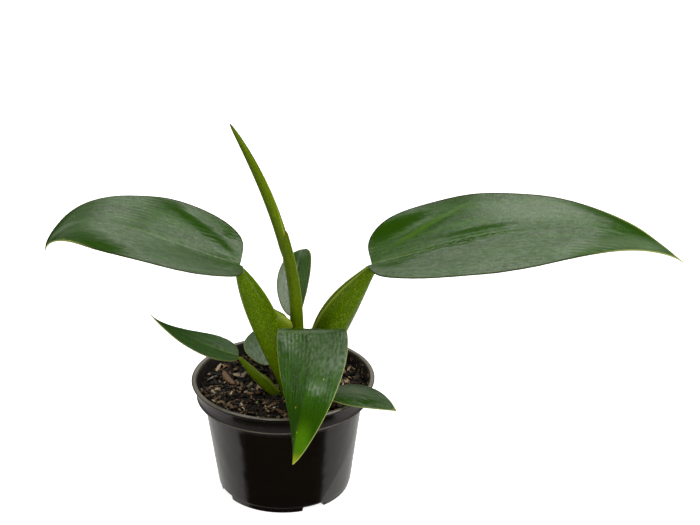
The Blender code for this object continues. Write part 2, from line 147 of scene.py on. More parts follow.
LEAVES = {
    "left_large": Leaf(
        (3.8, -6.2, 63), (-25.9, -8.4, 161.4), 3.6, 2.1, 8.6, length=141.4, width=60,
        taper=0.78, lobe=2.3, azimuth=185.2, sweep=-22.2, rise=21.8, droop=-84.9, bend=4.06,
        roll=24, twist=-5.7, fold=26.5, fold_tip=-9.1, curl=5.6, blunt=0.38, belly_at=0.6,
        bow=2.6, sheath=7.6, sheath_end=0.59, near_lobe=-1.5, groove_turn=0.3,
        neck_at=0.014, rim=0, crease=0.6, rib=(0.12, 0.9, 5),
        flecks=((110.5, 5.5, 0.6), (113.5, -14.5, 0.6), (108.2, -17.2, 0.8)),
        dents=((0.68, -26, 0.13, 9, -2, 0), (0.24, 19.5, 0.17, 5, 1.4, 43)),
        patches=(
            ("shade", 0.26, 19, 0.2, 2.7, 0.8, 43), ("shade", 0.36, 25.5, 0.06, 3.5, 0.6, 10),
            ("shade", 0.11, 10.7, 0.09, 2.6, 0.75, 62), ("shade", 0.15, 22, 0.14, 6, 0.4, 30),
            ("shade", 0.6, -22.5, 0.15, 8, 0.85, 15), ("shade", 0.7, -15, 0.13, 6, 0.6, 0),
            ("painted_sheen", 0.85, -4, 0.11, 2.6, 0.5, -25), ("painted_sheen", 0.9, -5.5, 0.06, 3, 0.3, -10),
            ("shade", 0.25, -14, 0.3, 12, 0.35, 0), ("painted_sheen", 0.57, 4, 0.08, 7, 0.25, 0),
        ),
    ),
    "right_large": Leaf(
        (16, 3, 66), (58, 1.3, 157.5), 3.6, 2.9, 10.4, length=227.1, width=65.1,
        taper=1.35, lobe=3.4, azimuth=13.1, sweep=4.2, rise=10.6, droop=-39.7, bend=1.98,
        roll=-18.3, twist=-42.7, fold=22, fold_tip=-6.7, curl=7.9, blunt=0.45,
        stalk_taper=1.1, bow=5.7, near_lobe=2.5, neck_at=0.012, rim=0, crease=0.7,
        rib=(0.5, 0.26, 1.6),
        dents=((0.09, -27, 0.09, 8, 3.2, 0), (0.3, -1, 0.12, 3.6, -0.5, 0)),
        patches=(
            ("shade", 0.12, -21.8, 0.1, 5, 1, -45), ("shade", 0.05, -16, 0.05, 5, 0.7, 0),
            ("shade", 0.17, -14.5, 0.12, 4, 0.6, -60), ("shade", 0.31, -6.3, 0.13, 2.2, 0.75, 0),
            ("streak", 0.2, -17.6, 0.14, 1.7, 0.45, -69), ("streak", 0.13, -11.5, 0.06, 1.5, 0.25, -50),
            ("shade", 0.7, -13.5, 0.13, 4.5, 0.8, 52), ("shade", 0.83, -6, 0.13, 3.6, 0.9, 42),
            ("painted_sheen", 0.8, 4, 0.16, 5.5, 0.45, -32), ("shade", 0.4, 14, 0.4, 14, 0.2, -20),
            ("painted_sheen", 0.5, -15, 0.16, 9, 0.45, 20), ("dashes", 0.29, -0.8, 0.15, 1.3, 1, -3),
            ("painted_sheen", 0.62, 13, 0.1, 6, 0.35, -40),
            ("shade", 0.05, 8, 0.05, 4, 0.4, 120),
        ),
    ),
    "front": Leaf(
        (10.4, -8.8, 63), (13.7, -10.5, 110.1), 3.2, 2, 3.4, length=131, width=44,
        taper=0.78, lobe=2, azimuth=-70, sweep=-52, rise=74, droop=-80, bend=0.63,
        roll=10, twist=-37, fold=7, fold_tip=-28, curl=4.5, rib=(0.12, 0.5, 1.6),
        groove=0.2, crease=2, sheen=0.94,
        flecks=((85.2, 10.5, 0.4), (96.1, 6, 0.9), (77.1, -9.7, 0.6), (111.3, 0.5, 0.9), (116, 4.5, 0.7)),
        dents=((0.3, -21, 0.09, 8, 3.5, 0), (0.27, 20, 0.1, 9, 2, 0)),
        patches=(
            ("shade", 0.82, 0, 0.13, 26, 1, 0), ("shade", 1, 0, 0.2, 20, 1, 0),
            ("shade", 0.4, -8, 0.13, 20, 0.5, 0), ("painted_sheen", 0.25, 0, 0.03, 24, 0.55, 0),
            ("painted_sheen", 0.63, -7, 0.045, 6, 0.25, 0),
            # The streak by the tip is painted light shining through the blade.
            ("streak", 0.9, -3, 0.1, 7, 0.8, 0), ("shade", 0.86, 9, 0.14, 7, 1, 0),
        ),
    ),
    "back": Leaf(
        (9.6, 8.8, 66), (7.8, 30.4, 106.5), 3, 1.6, 3.6, length=77, width=26,
        taper=0.66, lobe=0.6, azimuth=94, sweep=-13, rise=26, droop=-3, bend=1.26,
        roll=25, twist=-13, fold=25, fold_tip=15, curl=0, bow=0.5, rib=(0.1, 0.5, 1.2),
        rim=0.4, patches=(
            ("painted_sheen", 0.3, -7, 0.4, 5, 0.8, 0), ("dashes", 0.35, -5, 0.35, 5, 0.35, 0),
            # The streak on the right half is painted light.
            ("streak", 0.5, 7, 0.5, 6, 0.35, 0),
            ("shade", 0.8, -3, 0.16, 4, 0.9, 0), ("painted_sheen", 0.9, 4, 0.14, 6, 0.5, 0),
        ),
    ),
    "left_small": Leaf(
        (0.5, -1.5, 61), (-28.9, -4, 94.9), 2.4, 1, 3, length=65, width=31,
        taper=0.97, lobe=0.7, azimuth=183, sweep=15, rise=22, droop=48, bend=1.7,
        roll=11, twist=-17, fold=14, fold_tip=-9, curl=11, belly_at=0.42,
        stalk_taper=0.86, bow=-1.2, sheath=1.2, rim=0.35, rib=(0.7, 0.45, 1.3),
        sheen=0.32,
    ),
    "right_small": Leaf(
        (15.6, -5, 62), (25.5, -16.8, 74.1), 2, 1, 2.2, length=62.5, width=28.5,
        taper=0.98, lobe=1.1, azimuth=-38, sweep=-2, rise=19.6, droop=-14, bend=1.8,
        roll=12, twist=-29, fold=20, fold_tip=-13, curl=9, rim=0.7, sheen=0.9,
        patches=(("painted_sheen", 0.25, -4, 0.3, 8, 0.8, 0), ("shade", 0.8, 0, 0.2, 9, 0.5, 0)),
    ),
    "back_small": Leaf(
        (3.5, 6.5, 63), (-6.9, 13.3, 79.4), 2, 1, 2.2, length=46, width=32,
        taper=0.9, lobe=1, azimuth=108, sweep=-11, rise=25, droop=-9, bend=1.3,
        roll=3.5, twist=12, fold=17, fold_tip=0, curl=6, crease=1.2, sheen=0.75,
    ),
}

# How far along a blade its base lobes reach, and how long a blade must be for its stalk to reach
# the dark top colour; stalks of shorter blades stay lighter, as painted light.
LOBE_REACH = 0.045
LONG_BLADE = 140

# The new leaf's axis is a cubic curve with four guide points. The sheath ends at SHEATH_TOP of it,
# and the roll starts inside the sheath at ROLL_FOOT.
SHOOT_AXIS = ((9, 1, 76), (6.6, 1, 101.8), (21.7, 1, 159.5), (-30, 1, 251.9))
SHEATH_TOP = 0.71
ROLL_FOOT = 0.54
SHOOT_LENGTH = 190

# The camera stands where the ellipses of the pot's lip and foot put it.
CAMERA_AT = (0.0438, -0.9749, 0.5859)
CAMERA_TILT = 66.37
CAMERA_LENS = 86

# The fill lamp stands behind the camera, and the floor reaches past all that the camera sees.
FILL_AT = (0.15, -1.8, 0.55)
FILL_TILT = 76
FILL_TURN = 4
FLOOR_RADIUS = 6

# The number of points round a stalk, round the new leaf's sheath and roll, and round the soil.
STALK_COLUMNS = 80
SHOOT_COLUMNS = 96
SOIL_COLUMNS = 300


# Shapes in numpy


def unit(vectors):
    """Vectors of length 1 along the last axis."""
    return vectors / np.linalg.norm(vectors, axis=-1, keepdims=True)


def step(value, low, high):
    """A smooth step: 0 below low, 1 above high and 3t^2 - 2t^3 between them."""
    t = np.clip((value - low) / (high - low), 0, 1)
    return t * t * (3 - 2 * t)


def hill(value, at, width):
    """A bell curve of height 1: e to the minus squared distance from at, over width."""
    return np.exp(-(((value - at) / width) ** 2))


def swell(along, largest_at, sharpness):
    """Rises from 0 at the start to 1 at largest_at and back to 0; sharpness shapes the far end."""
    near = sharpness * largest_at / (1 - largest_at)
    rise = np.clip(along / largest_at, 0, None) ** near
    return rise * np.clip((1 - along) / (1 - largest_at), 0, None) ** sharpness


def lumps(x, y, seed):
    """Smooth random heights from -1 to 1: seeded draws on a unit lattice, blended between them."""
    table = np.random.default_rng(seed).uniform(-1, 1, (64, 64))
    ix, iy = np.floor(x).astype(int), np.floor(y).astype(int)
    fx, fy = step(x - ix, 0, 1), step(y - iy, 0, 1)
    near = table[ix % 64, iy % 64] * (1 - fx) + table[(ix + 1) % 64, iy % 64] * fx
    far = table[ix % 64, (iy + 1) % 64] * (1 - fx) + table[(ix + 1) % 64, (iy + 1) % 64] * fx
    return near * (1 - fy) + far * fy


def around(columns):
    """The angles of a closed ring's points, as one row."""
    return np.linspace(0, 2 * math.pi, columns, endpoint=False)[None, :]


def ring_faces(rows, columns):
    """Quads between neighbouring rings, closed round, and a fan to a pole at each end.

    Beside the vertex numbers it gives the same corners in a grid with one more column."""
    grid = np.meshgrid(np.arange(rows - 1), np.arange(columns), indexing="ij")
    row, column = (a.reshape(-1, 1) for a in grid)
    row, column = row + (0, 0, 1, 1), column + (0, 1, 1, 0)
    quads, wide = row * columns + column % columns, row * (columns + 1) + column
    c = np.arange(columns)
    after, pole = (c + 1) % columns, np.full(columns, rows * columns)
    last, wide_last = (rows - 1) * columns, (rows - 1) * (columns + 1)
    fans = [[after, c, pole], [last + c, last + after, pole + 1]]
    wide_fans = [[c + 1, c, c], [wide_last + c, wide_last + c + 1, wide_last + c]]
    return quads, np.hstack(fans).T, wide, np.hstack(wide_fans).T


def split_quads(quads, fans):
    """The same faces as triangles alone."""
    return np.vstack([quads[:, :3], quads[:, [0, 2, 3]], fans])


def sweep_mesh(name, rings, run, turn, marks):
    """A closed body through rings of points, with a pole in the middle of each end ring.

    rings has the shape (rows, columns, 3), in millimetres. run and turn are the UV map's two
    coordinates and have one more column, the seam's far side. marks holds named numbers for the
    points. The faces are turned out by the sign of the body's volume, the sum of a . (b x c) / 6
    over its triangles."""
    rows, columns, _ = rings.shape
    points = np.vstack([rings.reshape(-1, 3), rings[0].mean(0), rings[-1].mean(0)])
    quads, fans, wide, wide_fans = ring_faces(rows, columns)
    a, b, c = points[split_quads(quads, fans)].swapaxes(0, 1)
    if (a * np.cross(b, c)).sum() < 0:
        quads, fans, wide, wide_fans = (x[:, ::-1] for x in (quads, fans, wide, wide_fans))
    mesh = bpy.data.meshes.new(name)
    mesh.from_pydata(points * MM, [], quads.tolist() + fans.tolist())
    uv = np.stack([np.broadcast_to(x, (rows, columns + 1)) for x in (run, turn)], -1)
    corners = np.concatenate([wide.ravel(), wide_fans.ravel()])
    layer = mesh.uv_layers.new(name="surface")
    layer.data.foreach_set("uv", uv.reshape(-1, 2)[corners].astype(np.float32).ravel())
    for mark, values in marks.items():
        values = np.broadcast_to(values, (rows, columns))
        data = np.append(values, [values[0].mean(), values[-1].mean()]).astype(np.float32)
        mesh.attributes.new(mark, "FLOAT", "POINT").data.foreach_set("value", data)
    mesh.shade_smooth()
    return add_piece(name, mesh)


def tube(name, axis, radius, angle, run, marks, girth=5):
    """A swept body round an axis: its points, its direction at angle 0 and that a quarter on.

    girth is the radius at which the UV map counts the way round."""
    point, first, second = axis
    angle = angle[..., None]
    rings = point + radius[..., None] * (first * np.cos(angle) + second * np.sin(angle))
    turn = np.linspace(0, 2 * math.pi, angle.size + 1) * girth
    return sweep_mesh(name, rings, run, turn, marks)


def add_piece(name, mesh):
    """Puts a mesh in the scene at the origin, unturned."""
    obj = bpy.data.objects.new(name, mesh)
    bpy.context.scene.collection.objects.link(obj)
    return obj


def dress(obj, slot, finish, *nodes):
    """Gives a piece its finish, its body and the nodes that it stands for."""
    obj.data.materials.clear()
    obj.data.materials.append(finish)
    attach(obj, BODY)
    if nodes:
        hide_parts(*nodes)


# Leaf blades


def midrib_direction(leaf, along):
    """The midrib's heading: its slope goes from rise to droop, and it turns by sweep."""
    slope = np.radians(leaf.rise + (leaf.droop - leaf.rise) * along**leaf.bend)
    heading = np.radians(leaf.azimuth + leaf.sweep * along)
    level = np.cos(slope)
    return np.stack([level * np.cos(heading), level * np.sin(heading), np.sin(slope)], -1)


def midrib_points(leaf, along):
    """The midrib, summed from its direction in small steps."""
    steps = 200
    middles = (np.arange(steps) + 0.5) / steps
    moves = midrib_direction(leaf, middles) * leaf.length / steps
    points = np.vstack([np.zeros(3), np.cumsum(moves, axis=0)]) + np.array(leaf.base)
    stations = np.linspace(0, 1, steps + 1)
    return np.stack([np.interp(along, stations, points[:, i]) for i in range(3)], -1)


def half_width(leaf, along):
    """The blade's half width: a swell that is widest near the base, with small blunt ends."""
    largest_at = leaf.blunt / (leaf.blunt + leaf.taper)
    ends = 1.8 - 1.4 * along
    return np.hypot(leaf.width / 2 * swell(along, largest_at, leaf.taper), ends)


def blade_frame(leaf, along):
    """The directions along, across and out of a blade, rolled about its midrib."""
    tangent = midrib_direction(leaf, along)
    heading = np.radians(leaf.azimuth + leaf.sweep * along)
    level = np.stack([np.sin(heading), -np.cos(heading), np.zeros_like(heading)], -1)
    upright = np.cross(level, tangent)
    roll = np.radians(leaf.roll + leaf.twist * along)[..., None]
    across = level * np.cos(roll) + upright * np.sin(roll)
    return tangent, across, upright * np.cos(roll) - level * np.sin(roll)


def blade_middle(leaf, along, side):
    """The sheet half way through a blade. side runs from the right edge 1 to the left -1.

    Each half is an arc that leaves the midrib at the angle fold and bows down by curl; near the
    base the edges reach back past the stalk as two lobes, of which one may be longer."""
    tangent, across, normal = blade_frame(leaf, along)
    half = half_width(leaf, along)
    fold = np.radians(leaf.fold + (leaf.fold_tip - leaf.fold) * along)
    curl = np.radians(max(leaf.curl, 0.01))
    out = np.abs(side)
    reach = (np.sin(fold) - np.sin(fold - curl * out)) / curl * half * np.sign(side)
    lift = (np.cos(fold - curl * out) - np.cos(fold)) / curl * half
    near = np.clip(leaf.near_lobe * side, 0, None)
    back = -(leaf.lobe + near) * along / LOBE_REACH * np.exp(1 - along / LOBE_REACH) * out**2
    back -= 1.3 * abs(leaf.near_lobe) * step(near, 0, 1.2) * np.exp(-along / 0.02)
    return (
        midrib_points(leaf, along)
        + across * reach[..., None]
        + normal * lift[..., None]
        + tangent * back[..., None]
    )


def blade_relief(leaf, number, settings, along, side):
    """How far the top face stands off the plain sheet, in millimetres.

    It is a groove along the midrib with puckers beside it, creases that run lengthwise and fade
    towards the tip, slow waves that grow towards the margin, fine lumps, and the leaf's own
    dents. The second result is the creases and fine lumps, as a share of the creases' height."""
    distance = side * half_width(leaf, along)
    run = along * leaf.length
    seed = 20 + number
    groove = -leaf.groove * np.exp(-np.abs(distance) / 2) * (1 - along) * step(along, 0, 0.12)
    near = math.copysign(1.8, leaf.near_lobe)
    pucker = lumps(run / 2.6, distance / 1.1, seed) * hill(distance, near, 1.5)
    pucker *= settings.pucker / MM * step(along, 0.05, 0.15) * (1 - step(along, 0.4, 0.6))
    crease = np.sin(distance * 2.7 + 1.5 * lumps(run / 30, distance / 9, seed + 40))
    crease *= settings.crease / MM * (0.5 + 0.5 * lumps(run / 22, distance / 5, seed + 60))
    crease *= leaf.crease * (1 - step(along, 0.5 + 0.1 * leaf.crease, 0.85))
    wave = lumps(run / 26, side * 1.2 + 7, seed + 80) * side**2
    wave *= settings.wave / MM * step(along, 0.02, 0.15) * (1 - step(along, 0.85, 1))
    fine = lumps(run / 1.8, distance / 1.1, seed + 100) * settings.crease / MM * 0.6 * leaf.crease
    relief = groove + pucker + crease + wave + fine
    for at, beside, long, wide, height, slant in leaf.dents:
        middle = beside + slant * (along - at)
        relief = relief + height * hill(along, at, long) * hill(distance, middle, wide)
    return relief, (crease * 0.5 + fine * 2.5) * MM / settings.crease


def rib_depth(leaf, along, distance):
    """The midrib under the blade: a half-round ridge, thick where it comes off the stalk."""
    thick = leaf.neck_radius * (0.9 * np.exp(-along / 0.05) + 0.42 * (1 - along) + 0.06)
    return thick * np.sqrt(np.clip(1 - (distance / (1.1 * thick)) ** 2, 0, 1))


def build_blade(name, leaf, number, settings, finish):
    """Both faces of a blade as one swept body, a ring of points round each cross section."""
    rows = 60 + round(leaf.length * 0.75)
    half_columns = 30 + round(leaf.width * 1.3)
    along = (0.5 - 0.5 * np.cos(np.linspace(0, math.pi, rows)))[:, None]
    even = np.linspace(1, -1, half_columns)[None, :]
    side = 0.65 * even + 0.35 * np.sin(even * math.pi / 2)
    along, side = np.broadcast_arrays(along, side)
    middle = blade_middle(leaf, along, side)
    normal = unit(np.cross(np.gradient(middle, axis=0), np.gradient(middle, axis=1)))
    if normal[rows // 3, half_columns // 2, 2] < 0:
        normal = -normal
    distance = side * half_width(leaf, along)
    margin = half_width(leaf, along) - np.abs(distance)
    relief, ridge = blade_relief(leaf, number, settings, along, side)
    thick = settings.thickness / MM / 2 * np.sqrt(np.clip(margin / 0.5, 0.04, 1))
    top = middle + normal * (relief + thick)[..., None]
    under = middle + normal * (relief - thick - rib_depth(leaf, along, distance))[..., None]

    def both(values):
        return np.hstack([values, values[:, ::-1]])

    marks = {
        "share": both(along),
        "across": both(side),
        "margin": both(margin),
        "ridge": both(ridge),
        "under": np.hstack([np.zeros_like(margin), np.ones_like(margin)]),
    }
    rings = np.concatenate([top, under[:, ::-1]], 1)
    aside = np.hstack([both(distance), distance[:, :1]])
    blade = sweep_mesh(name + "_leaf_blade", rings, along[:, :1] * leaf.length, aside, marks)
    dress(blade, "leaf_blade", finish, name + "_blade")


# Leaf stalks


def stalk_axis(leaf, along):
    """A parabola from foot to base whose middle is moved by bow towards the stalk's upper side."""
    foot = np.array(leaf.foot)
    run = np.array(leaf.base) - foot
    ahead = unit(run)
    up = np.array((0, 1, 0))
    if ahead[2] <= 0.97:
        up = unit(np.array((0, 0, 1)) - ahead * ahead[2])
    along = along[:, None]
    point = foot + run * along + up * leaf.bow * 4 * along * (1 - along)
    tangent = unit(run + up * leaf.bow * 4 * (1 - 2 * along))
    across = unit(np.cross(tangent, up))
    return point, across, np.cross(across, tangent)


def build_stalk(name, leaf, number, finish):
    """A flask-shaped stalk, grooved on its upper side, that runs on under its blade as the midrib.

    The radius is the square root of the squared end radius and the squared belly, less a groove,
    plus its two lips, the sheath's wings and fine ribs. Past the neck the axis follows the midrib
    and the radius shrinks to a third."""
    rows = 96
    along = np.linspace(0, 1, rows)
    point, across, up = stalk_axis(leaf, along)
    point += (midrib_points(leaf, leaf.neck_at) - leaf.base) * step(along, 0.5, 1)[:, None]
    ahead = np.linspace(leaf.neck_at, 0.07, 15)[1:]
    _, rib_across, rib_up = blade_frame(leaf, ahead)
    shrink = 1 - 0.66 * step(ahead, 0, 0.07)
    rib = midrib_points(leaf, ahead) - rib_up * (leaf.neck_radius * shrink + 0.4)[:, None]
    point -= rib_up[0] * (leaf.neck_radius + 0.4) * step(along, 0.94, 1)[:, None]
    pairs = (point, rib), (up, rib_up), (across, rib_across)
    axis = [np.vstack(pair)[:, None] for pair in pairs]
    along = np.concatenate([along, 1 + ahead])[:, None]
    share = np.clip(along, 0, 1)
    bulge = leaf.belly * swell(share, leaf.belly_at, leaf.stalk_taper)
    ends = leaf.foot_radius + (leaf.neck_radius - leaf.foot_radius) * share
    radius = np.hypot(ends * np.concatenate([np.ones(rows), shrink])[:, None], bulge)
    angle = around(STALK_COLUMNS)
    off = np.abs(np.remainder(angle - leaf.groove_turn + math.pi, 2 * math.pi) - math.pi)
    groove = 0.14 * hill(off, 0, 0.28) - 0.07 * hill(off, 0.4, 0.16)
    fade = 1 - step(along, leaf.sheath_end - 0.07, leaf.sheath_end + 0.06)
    wing = fade * np.clip((along - 0.25) / 0.25, 0, 1) * hill(off, 0.3, 0.4)
    ribs = 0.035 * np.sin(30 * angle + 2 * lumps(along * 9, off * 3, 5 + number))
    radius = radius * (1 - groove) + leaf.sheath * wing + ribs * np.clip(radius - 2, 0, 1)
    moves = np.linalg.norm(np.diff(axis[0], axis=0), axis=-1)
    marks = {
        # Stalks of short leaves stay nearer the light foot colour: painted light against the shade under
        # the big leaves.
        "share": share * min(leaf.length / LONG_BLADE, 1),
        "lip_and_highlight": hill(off, 0.4, 0.13) * step(along, 0.05, 0.2),
        "wing": wing * (leaf.sheath > 3),
    }
    run = np.vstack([[[0]], np.cumsum(moves, axis=0)])
    stalk = tube(name + "_leaf_stalk", axis, radius, angle, run, marks)
    dress(stalk, "leaf_stalk", finish, name + "_stalk")


# New leaf


def shoot_axis(along):
    """A cubic curve up the new leaf, a s^3 + 3 b s^2 t + 3 c s t^2 + d t^3 with s = 1 - t.

    The other two results are the directions to its right and to its back."""
    a, b, c, d = (np.array(point) for point in SHOOT_AXIS)
    t = along[..., None]
    s = 1 - t
    point = a * s**3 + b * 3 * s**2 * t + c * 3 * s * t**2 + d * t**3
    tangent = unit((b - a) * s**2 + (c - b) * 2 * s * t + (d - c) * t**2)
    across = unit(np.cross(np.array((0, 1, 0)), tangent))
    return point, across, np.cross(tangent, across)


def build_sheath(settings, finish):
    """A tube with a slanted mouth: its rings climb the outside and come back down the inside.

    One edge of the sheath laps over the other in a line up its right front."""
    wall = settings.sheath_wall / MM
    climb, back = np.linspace(0, SHEATH_TOP, 110), np.linspace(SHEATH_TOP, ROLL_FOOT, 30)
    along = np.concatenate([climb, back])[:, None]
    inner = np.repeat((0, wall * 0.25, wall * 0.75, wall), (len(climb) - 1, 1, 1, len(back) - 1))
    inner = inner[:, None]
    angle = around(SHOOT_COLUMNS)
    share = along / SHEATH_TOP
    slant = 0.5 - 0.5 * np.cos(angle + 0.4)
    lap = np.remainder(angle + 0.3, 2 * math.pi)
    ridge = 0.32 * np.exp(-lap / 0.5) * step(share, 0.1, 0.4)
    ribs = 0.03 * np.sin(26 * angle + 2 * lumps(along * 9, angle, 31))
    radius = 4.75 - share + (ridge + ribs) * (inner == 0) - inner
    marks = {
        "share": share,
        # Painted light: a highlight along the lapping edge, and the wing colour on the right side.
        "lip_and_highlight": np.exp(-lap / 0.16) * step(share, 0.1, 0.3),
        "wing": 0.15 * (0.5 + 0.5 * np.cos(angle + 0.3)) ** 1.5,
        "dry": step(share, 0.985, 1) * (0.25 + 0.75 * hill(angle, 2 * math.pi - 0.4, 0.7)),
    }
    axis = shoot_axis(along - 0.1 * slant * share**3)
    sheath = tube("new_leaf_green_sheath", axis, radius, angle, along * SHOOT_LENGTH, marks)
    dress(sheath, "new_leaf", finish, "new_leaf_sheath")


def build_rolled_blade(settings, finish):
    """A scroll: the radius shrinks round the section, and the free edge winds slowly up the roll."""
    along = np.linspace(ROLL_FOOT, 1, 150)[:, None]
    angle = around(SHOOT_COLUMNS)
    share = np.clip((along - SHEATH_TOP) / (1 - SHEATH_TOP), 0, 1)
    grow = step(along, 0.585, 0.67)
    wound = np.remainder(angle + 0.9 - 1.5 * share, 2 * math.pi)
    edge = 0.14 * (wound / (2 * math.pi)) * (1 - hill(wound, 2 * math.pi, 0.1))
    second = 0.05 * hill(wound, 2.4, 0.12)
    ribs = 0.006 * np.sin(34 * angle + 3 * lumps(along * 12, angle, 33))
    radius = 0.3 + (settings.roll_radius / MM - 0.3) * (1 - share**2.2) ** 0.6
    radius = radius * (0.8 + 0.2 * grow) * (1 - edge - second + ribs)
    point, across, behind = shoot_axis(along)
    point = point - across * (0.6 * grow * (1 - share))[..., None]
    marks = {
        "share": share,
        # Painted light: highlights along the free edges, and the wing colour on the right side.
        "lip_and_highlight": np.maximum(hill(wound, 0.06, 0.1), 0.5 * hill(wound, 2.4, 0.1)),
        "wing": 0.35 * (0.5 + 0.5 * np.cos(angle + 0.4)) ** 3,
        "dry": step(share, 0.96, 1),
    }
    axis, run = (point, across, behind), along * SHOOT_LENGTH
    roll = tube("new_leaf_roll", axis, radius, angle, run, marks, girth=4)
    dress(roll, "new_leaf", finish, "new_leaf_rolled_blade")


# Pot


def rounded(corners, steps=5):
    """A profile whose corners are cut by up to a third of each side and rounded by a parabola."""
    corners = np.array(corners)
    here = corners[1:-1]
    start, end = (
        here + (side - here) * np.minimum(0.34, 0.35 / np.linalg.norm(side - here, axis=1))[:, None]
        for side in (corners[:-2], corners[2:])
    )
    t = np.linspace(0, 1, steps)[None, :, None]
    arcs = start[:, None] * (1 - t) ** 2 + here[:, None] * 2 * t * (1 - t) + end[:, None] * t**2
    return np.vstack([corners[:1], arcs.reshape(-1, 2), corners[-1:]])


def pot_profile():
    """Radius and height from the inner floor over the lip to the underside, in millimetres."""
    band, body, top = BAND_RADIUS, BODY_TOP_RADIUS, POT_HEIGHT
    inner = POT_RADIUS - 2.6
    return rounded([
        (1, 1.4), (PAD_RADIUS - 1.2, 1.4), (PAD_RADIUS + 0.6, CHANNEL + WALL),
        (FOOT_INNER_RADIUS + 0.6, CHANNEL + WALL), (FOOT_RADIUS - 0.2, 6),
        (body - WALL - 0.1, BAND_BOTTOM - 0.6), (band - WALL - 0.8, BAND_BOTTOM + 1.8),
        (band - WALL + 0.5, top - 2.2), (inner - 0.5, top - 0.4), (inner + 0.2, top),
        (POT_RADIUS - 0.8, top), (POT_RADIUS, top - 0.7), (POT_RADIUS, top - 1.5),
        (POT_RADIUS - 0.8, top - 2.1), (band + 0.4, top - 2.4), (band - 0.4, BAND_BOTTOM + 1.6),
        (band, BAND_BOTTOM + 1), (band, BAND_BOTTOM + 0.4), (band - 0.6, BAND_BOTTOM),
        (body, BAND_BOTTOM - 0.2), (FOOT_RADIUS + 1.2, 4.4), (FOOT_RADIUS + 0.6, 4),
        (FOOT_RADIUS, 0.5), (FOOT_RADIUS - 0.5, 0), (FOOT_INNER_RADIUS + 0.4, 0),
        (FOOT_INNER_RADIUS, CHANNEL), (PAD_RADIUS + 1.8, CHANNEL), (PAD_RADIUS, 0), (1, 0),
    ])


def build_pot(finish):
    """The profile turned about the upright; the foot's ring is raised where a notch drains it.

    A notch's roof ends NOTCH_HALF from its middle, and its sides fall over 0.6 of a degree."""
    wide = NOTCH_HALF + 0.6
    sides = (-wide, -NOTCH_HALF, NOTCH_HALF, wide)
    edges = [notch + turn for notch in NOTCH_ANGLES for turn in sides]
    angle = np.radians(np.sort(np.concatenate([np.arange(0, 360, 1.5) + 0.2, edges])))
    radius, height = pot_profile().T[..., None]
    off = np.remainder(np.degrees(angle) - np.array(NOTCH_ANGLES)[:, None] + 180, 360) - 180
    notch = NOTCH_HEIGHT * (1 - step(np.abs(off).min(0), NOTCH_HALF, wide + 0.1))
    foot = (radius > FOOT_INNER_RADIUS - 0.5) & (height < NOTCH_HEIGHT)
    height = np.where(foot, np.maximum(height, notch), height)
    rings = np.broadcast_arrays(radius * np.cos(angle), radius * np.sin(angle), height)
    turn = np.append(angle, angle[0] + 2 * math.pi)
    pot = sweep_mesh("pot_shell", np.stack(rings, -1), turn, np.arange(len(height))[:, None], {})
    pot.data.set_sharp_from_angle(angle=math.radians(50))
    cutters = []
    for turn in np.radians(NOTCH_ANGLES):
        bpy.ops.mesh.primitive_cylinder_add(vertices=40, radius=HOLE_RADIUS * MM, depth=0.01)
        cutter = bpy.context.object
        cutter.location = (HOLE_CIRCLE * MM * math.cos(turn), HOLE_CIRCLE * MM * math.sin(turn), 0)
        pot.modifiers.new("drain_hole", "BOOLEAN").object = cutter
        cutters.append(cutter)
    bpy.context.view_layer.update()
    cut = bpy.data.meshes.new_from_object(pot.evaluated_get(bpy.context.evaluated_depsgraph_get()))
    pot.modifiers.clear()
    pot.data = cut
    for cutter in cutters:
        bpy.data.objects.remove(cutter)
    dress(pot, "pot_plastic", finish, "pot")


# Soil


def chip_draws(draw, count, spread, lengths, widths, rises):
    """Random places, directions and sizes of bark chips, one row for each."""
    radius = spread * np.sqrt(draw.uniform(0, 1, count))
    angle = draw.uniform(0, 2 * math.pi, count)
    turn = draw.uniform(0, math.pi, count)
    return np.stack([
        radius * np.cos(angle), radius * np.sin(angle), turn,
        draw.uniform(*lengths, count) / 2, draw.uniform(*widths, count) / 2,
        draw.uniform(*rises, count), draw.uniform(-0.25, 0.25, count),
    ], -1)


def soil_height(x, y):
    """The level of the soil between the chips: gentle swells, dished round the stem."""
    swells = 0.7 * np.sin(x / 13 + 0.6) * np.cos(y / 11) + 0.4 * np.sin(y / 6 - x / 9)
    near_stem = np.hypot(x - STEM_AT[0], y - STEM_AT[1])
    wall = 1.6 * step(np.hypot(x, y) - 0.08 * x, 38, 54)
    return SOIL_LEVEL + swells + wall - 1.2 * np.exp(-((near_stem / 22) ** 2))


def build_soil(finish):
    """Crumbly peat: rings over the top and down inside the pot, with three sizes of lumps."""
    walls = [(2, 1.7), (12.6, 1.7), (FOOT_INNER_RADIUS, 4.3), (42.5, 6.3), (50.7, 65.5)]
    angle = around(SOIL_COLUMNS)
    top = np.linspace(SOIL_RADIUS, 0.6, 120)[:, None]
    x, y = top * np.cos(angle), top * np.sin(angle)
    height = soil_height(x, y)
    for seed, (rise, size) in enumerate(((0.9, 3.1), (0.55, 1.5), (0.3, 0.8)), 1):
        height = height + rise * lumps(x / size, y / size, seed)
    reach, level = np.array(walls).T[..., None]
    low = np.stack(np.broadcast_arrays(reach * np.cos(angle), reach * np.sin(angle), level), -1)
    rings = np.concatenate([low, np.stack([x, y, height], -1)])
    dress(sweep_mesh("peat_surface", rings, 0, 0, {}), "potting_mix", finish, "soil")


